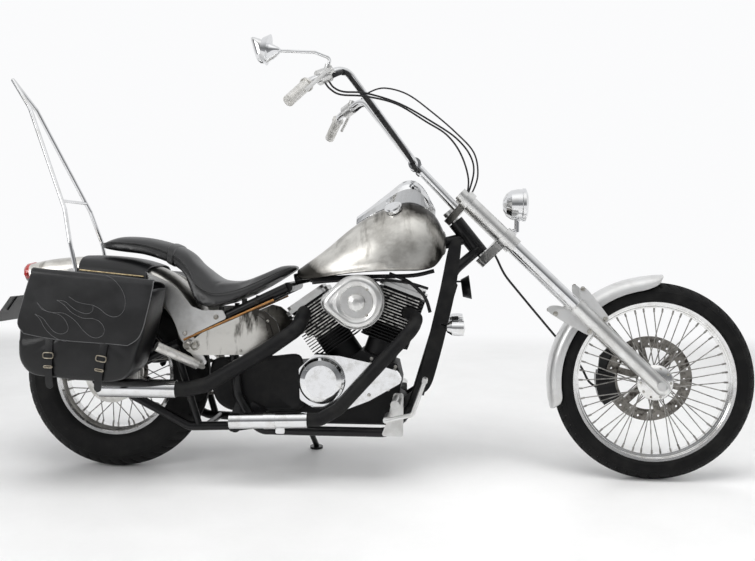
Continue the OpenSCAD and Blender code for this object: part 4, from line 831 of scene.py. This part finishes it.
# Tyres: black road tyres with a ribbed sidewall, a groove round each side of the centre and
# slanted shoulder grooves.
tyre_rubber = patchy("tyre_rubber", (20, 4, 0.65), (0.4, 0.8), (0.004, 0.004, 0.0042),
                     (0.012, 0.0118, 0.0112), rough=(0.58, 0.12), grain=(500, 3, 0.14, 0.0005),
                     Specular_IOR_Level=0.16)
RIB, GROOVE = 0.9, -4.5
SLICES = 8


def about(axle, r, y, turn):
    """A point at r from an axle and y across, turned from straight ahead."""
    return axle[0] + r * math.cos(turn), y, axle[1] + r * math.sin(turn)


for name, axle, width, seat_at, blocks, body in [
        ("front_tyre", FRONT_AXLE, 86, 277, 56, "front_wheel"),
        ("rear_tyre", REAR_AXLE, 138, 217, 48, "rear_wheel")]:
    radius = axle[1]
    half = width / 2
    reach = math.degrees(math.acos((seat_at - radius + half) / half))
    # Degrees round the section, from the bead to the crown, with the ribs' and grooves' edges
    turns = [-reach, -reach * 0.94, -reach * 0.86, -80, -74, -73, -70, -69, -62, -57, -52, -49, -40, -30,
             -22, -17, -16, -12, -11, -5]
    turns = turns + [0] + [-t for t in turns[::-1]]
    rings = []
    for k in range(blocks * SLICES):
        ring = []
        for turn in turns:
            off = abs(turn)
            slant = k / SLICES + off / 52 * 0.55 + (0.5 if turn > 0 else 0)
            grow = 0.0
            if off in (73, 70):
                grow = RIB
            elif 12 <= off <= 16 or 22 <= off <= 52 and slant % 1 < 0.24:
                grow = GROOVE
            a = math.radians(turn)
            ring.append((radius - half + (half + grow) * math.cos(a), (half + grow) * math.sin(a)))
        ring += [(seat_at - 13, width * 0.31), (seat_at - 13, width * 0.2), (seat_at + 8, width * 0.2),
                 (seat_at + 8, -width * 0.2), (seat_at - 13, -width * 0.2), (seat_at - 13, -width * 0.31)]
        rings.append([about(axle, r, y, 2 * math.pi * k / (blocks * SLICES)) for r, y in ring])
    rings.append(rings[0])
    tyre = loft(name + "_tread", rings, tyre_rubber, caps=False, turn=32)
    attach(tyre, body)
    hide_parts(name)

# Front fender: a pressed and painted blade over the front wheel, rounded at both tips, with
# two silver plates on each side that bolt it to the slider.
silver_paint = patchy("silver_paint", (16, 4, 0.6), (0.4, 0.8), (0.64, 0.64, 0.635), (0.54, 0.535, 0.525),
                      rough=(0.28, 0.15), grain=(500, 2, 0.04, 0.0003), Metallic=0.6, Coat_Weight=0.2)
dress(silver_paint, "front_fender")
rings = []
for i in range(61):
    t = i / 60
    at = math.radians(86 + 110 * t)
    tip = min(1.0, math.sqrt(max(0.0, 1 - (1 - min(1, t / 0.12)) ** 2)) * 0.8 + 0.2,
              math.sqrt(max(0.0, 1 - (1 - min(1, (1 - t) / 0.07)) ** 2)) * 0.75 + 0.25)
    crown = 355 + 6 * max(0.0, 1 - t / 0.16) ** 2
    outer, inner = [], []
    for k in range(29):
        c, up = math.cos(math.pi * k / 28), abs(math.sin(math.pi * k / 28)) ** 0.8
        across = (0.4 + 0.6 * tip) * math.copysign(abs(c) ** 0.8, c)
        outer.append((crown - 44 * tip * (1 - up), 53 * across))
        inner.append((crown - 2.5 - 43 * tip * (1 - up), 50.5 * across))
    rings.append([about(FRONT_AXLE, r, y, at) for r, y in outer + inner[::-1]])
blade = loft("front_fender_blade", rings, silver_paint, turn=50)
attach(blade, "fork")
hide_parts("front_fender")
lean_back = math.radians(46.4)


def on_leg(x, y, z):
    """A point of the fork, across, to the side and up along the leg, on the upright machine."""
    return (FRONT_AXLE[0] + math.cos(lean_back) * x - math.sin(lean_back) * z, y,
            FRONT_AXLE[1] + math.sin(lean_back) * x + math.cos(lean_back) * z)


for side, name in SIDES:
    for k, corners in enumerate([[(-22, 268), (-22, 380), (-60, 420), (-78, 408), (-42, 268)],
                                 [(22, 258), (22, 372), (48, 412), (66, 402), (46, 262)]]):
        ends = [[on_leg(p.x, side * depth, p.y) for p in even(corners, 40)] for depth in (103, 97)]
        stay = loft("fender_plate_%s_%d" % (name, k), ends, silver_paint)
        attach(stay, "fork")
        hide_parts("front_fender")
    for k, (x, z) in enumerate([(0, 290), (-42, 318), (40, 318)]):
        ends = [on_leg(x, side * y, z) for y in (50, 100)]
        boss = tube("fender_boss_%s_%d" % (name, k), ends, 7, 16, silver_paint)
        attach(boss, "fork")
        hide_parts("front_fender")

# Cables and hose: clutch and throttle cables that arc from the levers to the upper yoke, and
# the front brake's rubber hose. They turn with the fork.
cord_rubber = patchy("cord_rubber", (60, 3, 0.6), (0.4, 0.8), (0.010, 0.010, 0.011), (0.032, 0.031, 0.030),
                     rough=(0.42, 0.2), grain=(900, 2, 0.1, 0.0003), Specular_IOR_Level=0.25)
routes = {
    "clutch_cable": (3, [(800, 350, 1318), (822, 346, 1345), (850, 332, 1366), (912, 290, 1375),
                         (1000, 246, 1344), (1092, 202, 1272), (1180, 166, 1192), (1243, 128, 1118),
                         (1258, 100, 1040), (1242, 82, 980), (1216, 72, 943)]),
    "throttle_cable": (3, [(788, -339, 1286), (802, -336, 1268), (832, -328, 1256), (900, -296, 1256),
                           (1001, -231, 1233), (1106, -182, 1180), (1179, -132, 1137), (1226, -92, 1085),
                           (1240, -40, 1030), (1217, 10, 944)]),
    "return_cable": (3, [(777, -346, 1280), (792, -343, 1262), (824, -334, 1246), (898, -300, 1246),
                         (990, -250, 1230), (1083, -207, 1180), (1150, -166, 1142), (1196, -118, 1085),
                         (1222, -60, 1010), (1217, -10, 944)]),
    "brake_hose": (4, [(1315, 24, 759), (1326, 26, 738), (1353, 34, 686), (1400, 50, 628), (1514, 78, 494),
                       (1570, 82, 430), (1620, 78, 370), (1648, 66, 318), (1678, 63, 298)])}
for name, (radius, points) in routes.items():
    line = eased(points, 6)
    cord = tube(name + "_sheath", line, radius, 12, cord_rubber)
    run = [parked(*p) for p in line]
    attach(cord, "fork")
    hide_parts(name)

# Harness and strip: black wiring tied along the handlebar, and the rust coloured edge strip
# that shows under the seat rail.
bar = [(792, 334, 1306), (826, 304, 1322), (852, 283, 1296), (936, 204, 1190), (1016, 124, 1084),
       (1036, 100, 1046), (1046, 62, 1040), (1050, 16, 1040)]
for side, name in SIDES:
    path = eased([[x + 8, side * (y + 15), z - 5] for x, y, z in bar], 5)
    thick = 7.5 if side < 0 else 5
    loom = tube("bar_harness_" + name, path, thick, 10, cord_rubber)
    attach(loom, "fork")
    for k in (4, 14, 22, 28):
        a, b = Vector(path[k]), Vector(path[k + 1])
        ends = [a, a.lerp(b, min(1, 5 / (b - a).length))]
        tie = tube("harness_tie_%s_%d" % (name, k), ends, thick + 2, 10, satin_black)
        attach(tie, "fork")
rust, place, lay = finish("rust_strip", Metallic=0.2)
patch = place.noise(60, 4, 0.65)
lay(Base_Color=patch.ramp((0.3, (0.10, 0.045, 0.015)), (0.55, (0.36, 0.17, 0.05)), (0.8, (0.55, 0.30, 0.10))),
    Roughness=patch.step(0.3, 0.7, 0.4, 0.65))
for side, name in SIDES:
    path = [(272 + 34 * i, side * 137, 462 + 15.4 * i) for i in range(10)]
    strip = tube("rail_strip_" + name, path, 4, 8, rust)
    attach(strip, "chassis")

# Zips on the yoke of the saddlebags: a row of brass teeth along each side panel, sewn in
# between two lips of leather.
brass = patchy("old_brass", (80, 4), (0.35, 0.7), (0.62, 0.50, 0.30), (0.33, 0.25, 0.14),
               rough=(0.28, 0.2), Metallic=1.0)
for side, name in SIDES:
    places = [-84 + 222 * i / 12 for i in range(13)]
    path = [(x, side * 148, bag_top(x) + 9) for x in places]
    zip_line = tube("yoke_zip_" + name, path, 3.4, 8, brass)
    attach(zip_line, "chassis")

# Mirror: a pressed and chromed teardrop shell, screwed to the end of its stem on the right
# half of the handlebar.


def dished(piece_name, line, mid, depths, material, turn):
    """A shell on the right side: one outline, shrunk toward its middle by a share at each depth."""
    rings = [[(mid.x + (q.x - mid.x) * share, -depth, mid.y + (q.y - mid.y) * share) for q in line]
             for depth, share in depths]
    return loft(piece_name, rings, material, turn=turn)


shell_line = even([(560, 1408), (606, 1392), (662, 1366), (640, 1342), (604, 1320), (584, 1326)], 44)
shell_mid = sum(shell_line, Vector((0, 0))) / len(shell_line)
shell_depths = [(447, 0.2), (446, 0.5), (442, 0.78), (437, 0.93), (430, 1.0), (424, 1.0), (422, 0.95),
                (424, 0.9)]
shell = dished("mirror_shell", shell_line, shell_mid, shell_depths, chrome, 50)
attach(shell, "fork")

# Gearbox cover: black moulded plastic below the right side cover, with the filler hoses and
# wiring that run under the tank.
cover_line = even([(352, 400), (582, 408), (671, 423), (682, 220), (428, 214), (372, 240), (352, 311)], 64)
cover_mid = sum(cover_line, Vector((0, 0))) / len(cover_line)
cover_depths = [(70, 0.98), (92, 1.0), (97, 0.97), (98, 0.9), (94, 0.86), (94, 0.3)]
gearbox = dished("gearbox_cover", cover_line, cover_mid, cover_depths, satin_black, 40)
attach(gearbox, "chassis")
for k, (radius, line) in enumerate([
        (7, [[690, -60, 664], [800, -66, 676], [930, -64, 680], [1040, -60, 684], [1110, -52, 700]]),
        (5, [[700, -80, 656], [780, -88, 664], [900, -86, 668], [1010, -80, 662], [1090, -60, 640]]),
        (6, [[960, -70, 690], [1030, -74, 660], [1080, -66, 610], [1098, -60, 560]])]):
    hose = tube("tank_hose_%d" % k, eased(line, 6), radius, 10, cord_rubber)
    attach(hose, "chassis")

# Radiator sides: black moulded strips that close the gap between the radiator and the
# frame's down tubes, clipped on at both sides.
strip_line = even([(1163, 811), (1206, 825), (1184, 638), (1143, 453), (1101, 295), (1054, 274),
                   (1089, 453), (1131, 637)], 72)
for side, name in SIDES:
    ends = [[(p.x, side * depth, p.y) for p in strip_line] for depth in (92, 84)]
    strip = loft("radiator_side_" + name, ends, satin_black)
    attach(strip, "chassis")

# Air cleaner cover: a pressed teardrop shell in satin metal, with a rolled edge round the
# filter's dome, held by three bolts.
drop_mid = Vector((859, 597))
drop = [(x, z) for x, y, z in (about(drop_mid, 90, 0, math.radians(a)) for a in range(-110, 111, 10))]
drop_line = even(drop + [(790, 655), (748, 612), (738, 592), (748, 572), (790, 539)], 96)
drop_depths = [(148, 0.98), (160, 1.0), (170, 0.97), (176, 0.90), (179, 0.80), (178, 0.72), (172, 0.64),
               (165, 0.58)]
cleaner = dished("cleaner_cover", drop_line, drop_mid, drop_depths, satin_metal, 50)
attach(cleaner, "chassis")

# Front hub cap: a dished cover of polished alloy on the right end of the hub, held by a ring
# of small bolts.
rings = []
for r, y in [(14, -58), (30, -58), (44, -55), (56, -50), (60, -46), (60, -42), (40, -42)]:
    rings.append([about(FRONT_AXLE, r, y, 2 * math.pi * k / 48) for k in range(48)])
cap = loft("front_hub_cap", rings, alloy, turn=40)
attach(cap, "front_wheel")

# Bolts and screws: plated heads set on the faces that they hold, made by one small tree from
# points that carry a direction and a size.
plated = patchy("plated_steel", (90, 3), (0.35, 0.7), (0.60, 0.585, 0.55), (0.30, 0.285, 0.25),
                rough=(0.26, 0.2), Metallic=1.0)
heads = bpy.data.node_groups.new("bolt_heads", "GeometryNodeTree")
heads.interface.new_socket("Points", in_out="INPUT", socket_type="NodeSocketGeometry")
sides_in = heads.interface.new_socket("Sides", in_out="INPUT", socket_type="NodeSocketInt")
heads.interface.new_socket("Heads", in_out="OUTPUT", socket_type="NodeSocketGeometry")
grown = Tone(heads, None).node
sides = grown("NodeGroupInput", out="Sides")
washer = grown("GeometryNodeMeshCylinder", {"Vertices": 20, "Radius": 1.0, "Depth": 0.3})
head = grown("GeometryNodeMeshCylinder", {"Vertices": sides, "Radius": 0.78, "Depth": 1.1})
crown = grown("GeometryNodeMeshCone", {"Vertices": sides, "Radius Top": 0.5, "Radius Bottom": 0.78,
                                       "Depth": 0.22})
lifted = grown("GeometryNodeTransform", {"Geometry": crown, "Translation": (0, 0, 0.55)})
whole = grown("GeometryNodeJoinGeometry")
for each in (washer, head, lifted):
    heads.links.new(each.socket, whole.socket.node.inputs[0])
facing = grown("GeometryNodeInputNamedAttribute", {"Name": "facing"}, data_type="FLOAT_VECTOR")
size = grown("GeometryNodeInputNamedAttribute", {"Name": "size"}, data_type="FLOAT")
turned = grown("FunctionNodeAlignRotationToVector", {"Vector": facing}, axis="Z")
placed = grown("GeometryNodeInstanceOnPoints", {"Points": grown("NodeGroupInput"), "Instance": whole,
                                                "Rotation": turned, "Scale": size})
real = grown("GeometryNodeRealizeInstances", {"Geometry": placed})
coated = grown("GeometryNodeSetMaterial", {"Geometry": real, "Material": plated})
heads.links.new(coated.socket, heads.nodes.new("NodeGroupOutput").inputs[0])


def landing(names, x, z, side):
    """Where a line from the side first meets these solids, and the face's direction."""
    best = None
    start = parked(x, side * 700, z)
    heading = (parked(x, 0, z) - start).normalized()
    for each in names:
        hit, spot, normal, number = nodes[each].ray_cast(start, heading)
        if hit and (best is None or (spot - start).length < (best[0] - start).length):
            best = (spot, normal)
    return best


def met(names, radius, places):
    """Spots for bolts on both sides of the machine, where these solids are met."""
    found = [landing(names, x, z, side) for x, z in places for side in (-1, 1)]
    return [(*each, radius) for each in found if each]


def bolts(piece_name, body, spots, sides):
    """One piece of bolt heads on a body; each spot is a point, a direction and a radius."""
    mesh = bpy.data.meshes.new(piece_name)
    points, normals, radii = zip(*spots)
    mesh.from_pydata(points, [], [])
    facing = mesh.attributes.new("facing", "FLOAT_VECTOR", "POINT")
    facing.data.foreach_set("vector", [part for normal in normals for part in normal])
    size = mesh.attributes.new("size", "FLOAT", "POINT")
    size.data.foreach_set("value", [radius / 1000 for radius in radii])
    piece = bpy.data.objects.new(piece_name, mesh)
    bpy.context.scene.collection.objects.link(piece)
    grow = piece.modifiers.new("heads", "NODES")
    grow.node_group = heads
    grow[sides_in.identifier] = sides
    settled(piece)
    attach(piece, body)


spots = []
for names, radius, places in [
        (["fender_struts"], 9, [(382, 540), (276, 484)]),
        (["air_cleaner"], 5, [(776, 597), (894, 639), (894, 555)]),
        (["engine_covers", "engine_cases"], 6, [(822, 417), (903, 403), (984, 377), (1012, 340), (738, 424),
                                                (672, 386), (664, 300), (900, 288), (960, 300)]),
        (["rocker_covers"], 5, [(706, 700), (770, 742)]),
        (["side_covers"], 5, [(560, 530), (470, 430)])]:
    spots += met(names, radius, places)
bolts("chassis_bolts", "chassis", spots, 6)
bolts("cover_knobs", "chassis", met(["side_covers"], 16, [(288, 446), (314, 444)]), 24)
spots = []
for x, z in [(-66, 404), (-32, 284), (54, 398), (34, 276)]:
    for side in (-1, 1):
        spots.append((parked(*on_leg(x, side * 103, z)), upright @ Vector((0, side, 0)), 8))
bolts("fender_plate_bolts", "fork", spots, 16)
spots = []
for k in range(10):
    spot = parked(*about(FRONT_AXLE, 49, -53, 2 * math.pi * k / 10))
    spots.append((spot, upright @ Vector((0, -1, 0)), 4.5))
bolts("hub_cap_bolts", "front_wheel", spots, 6)
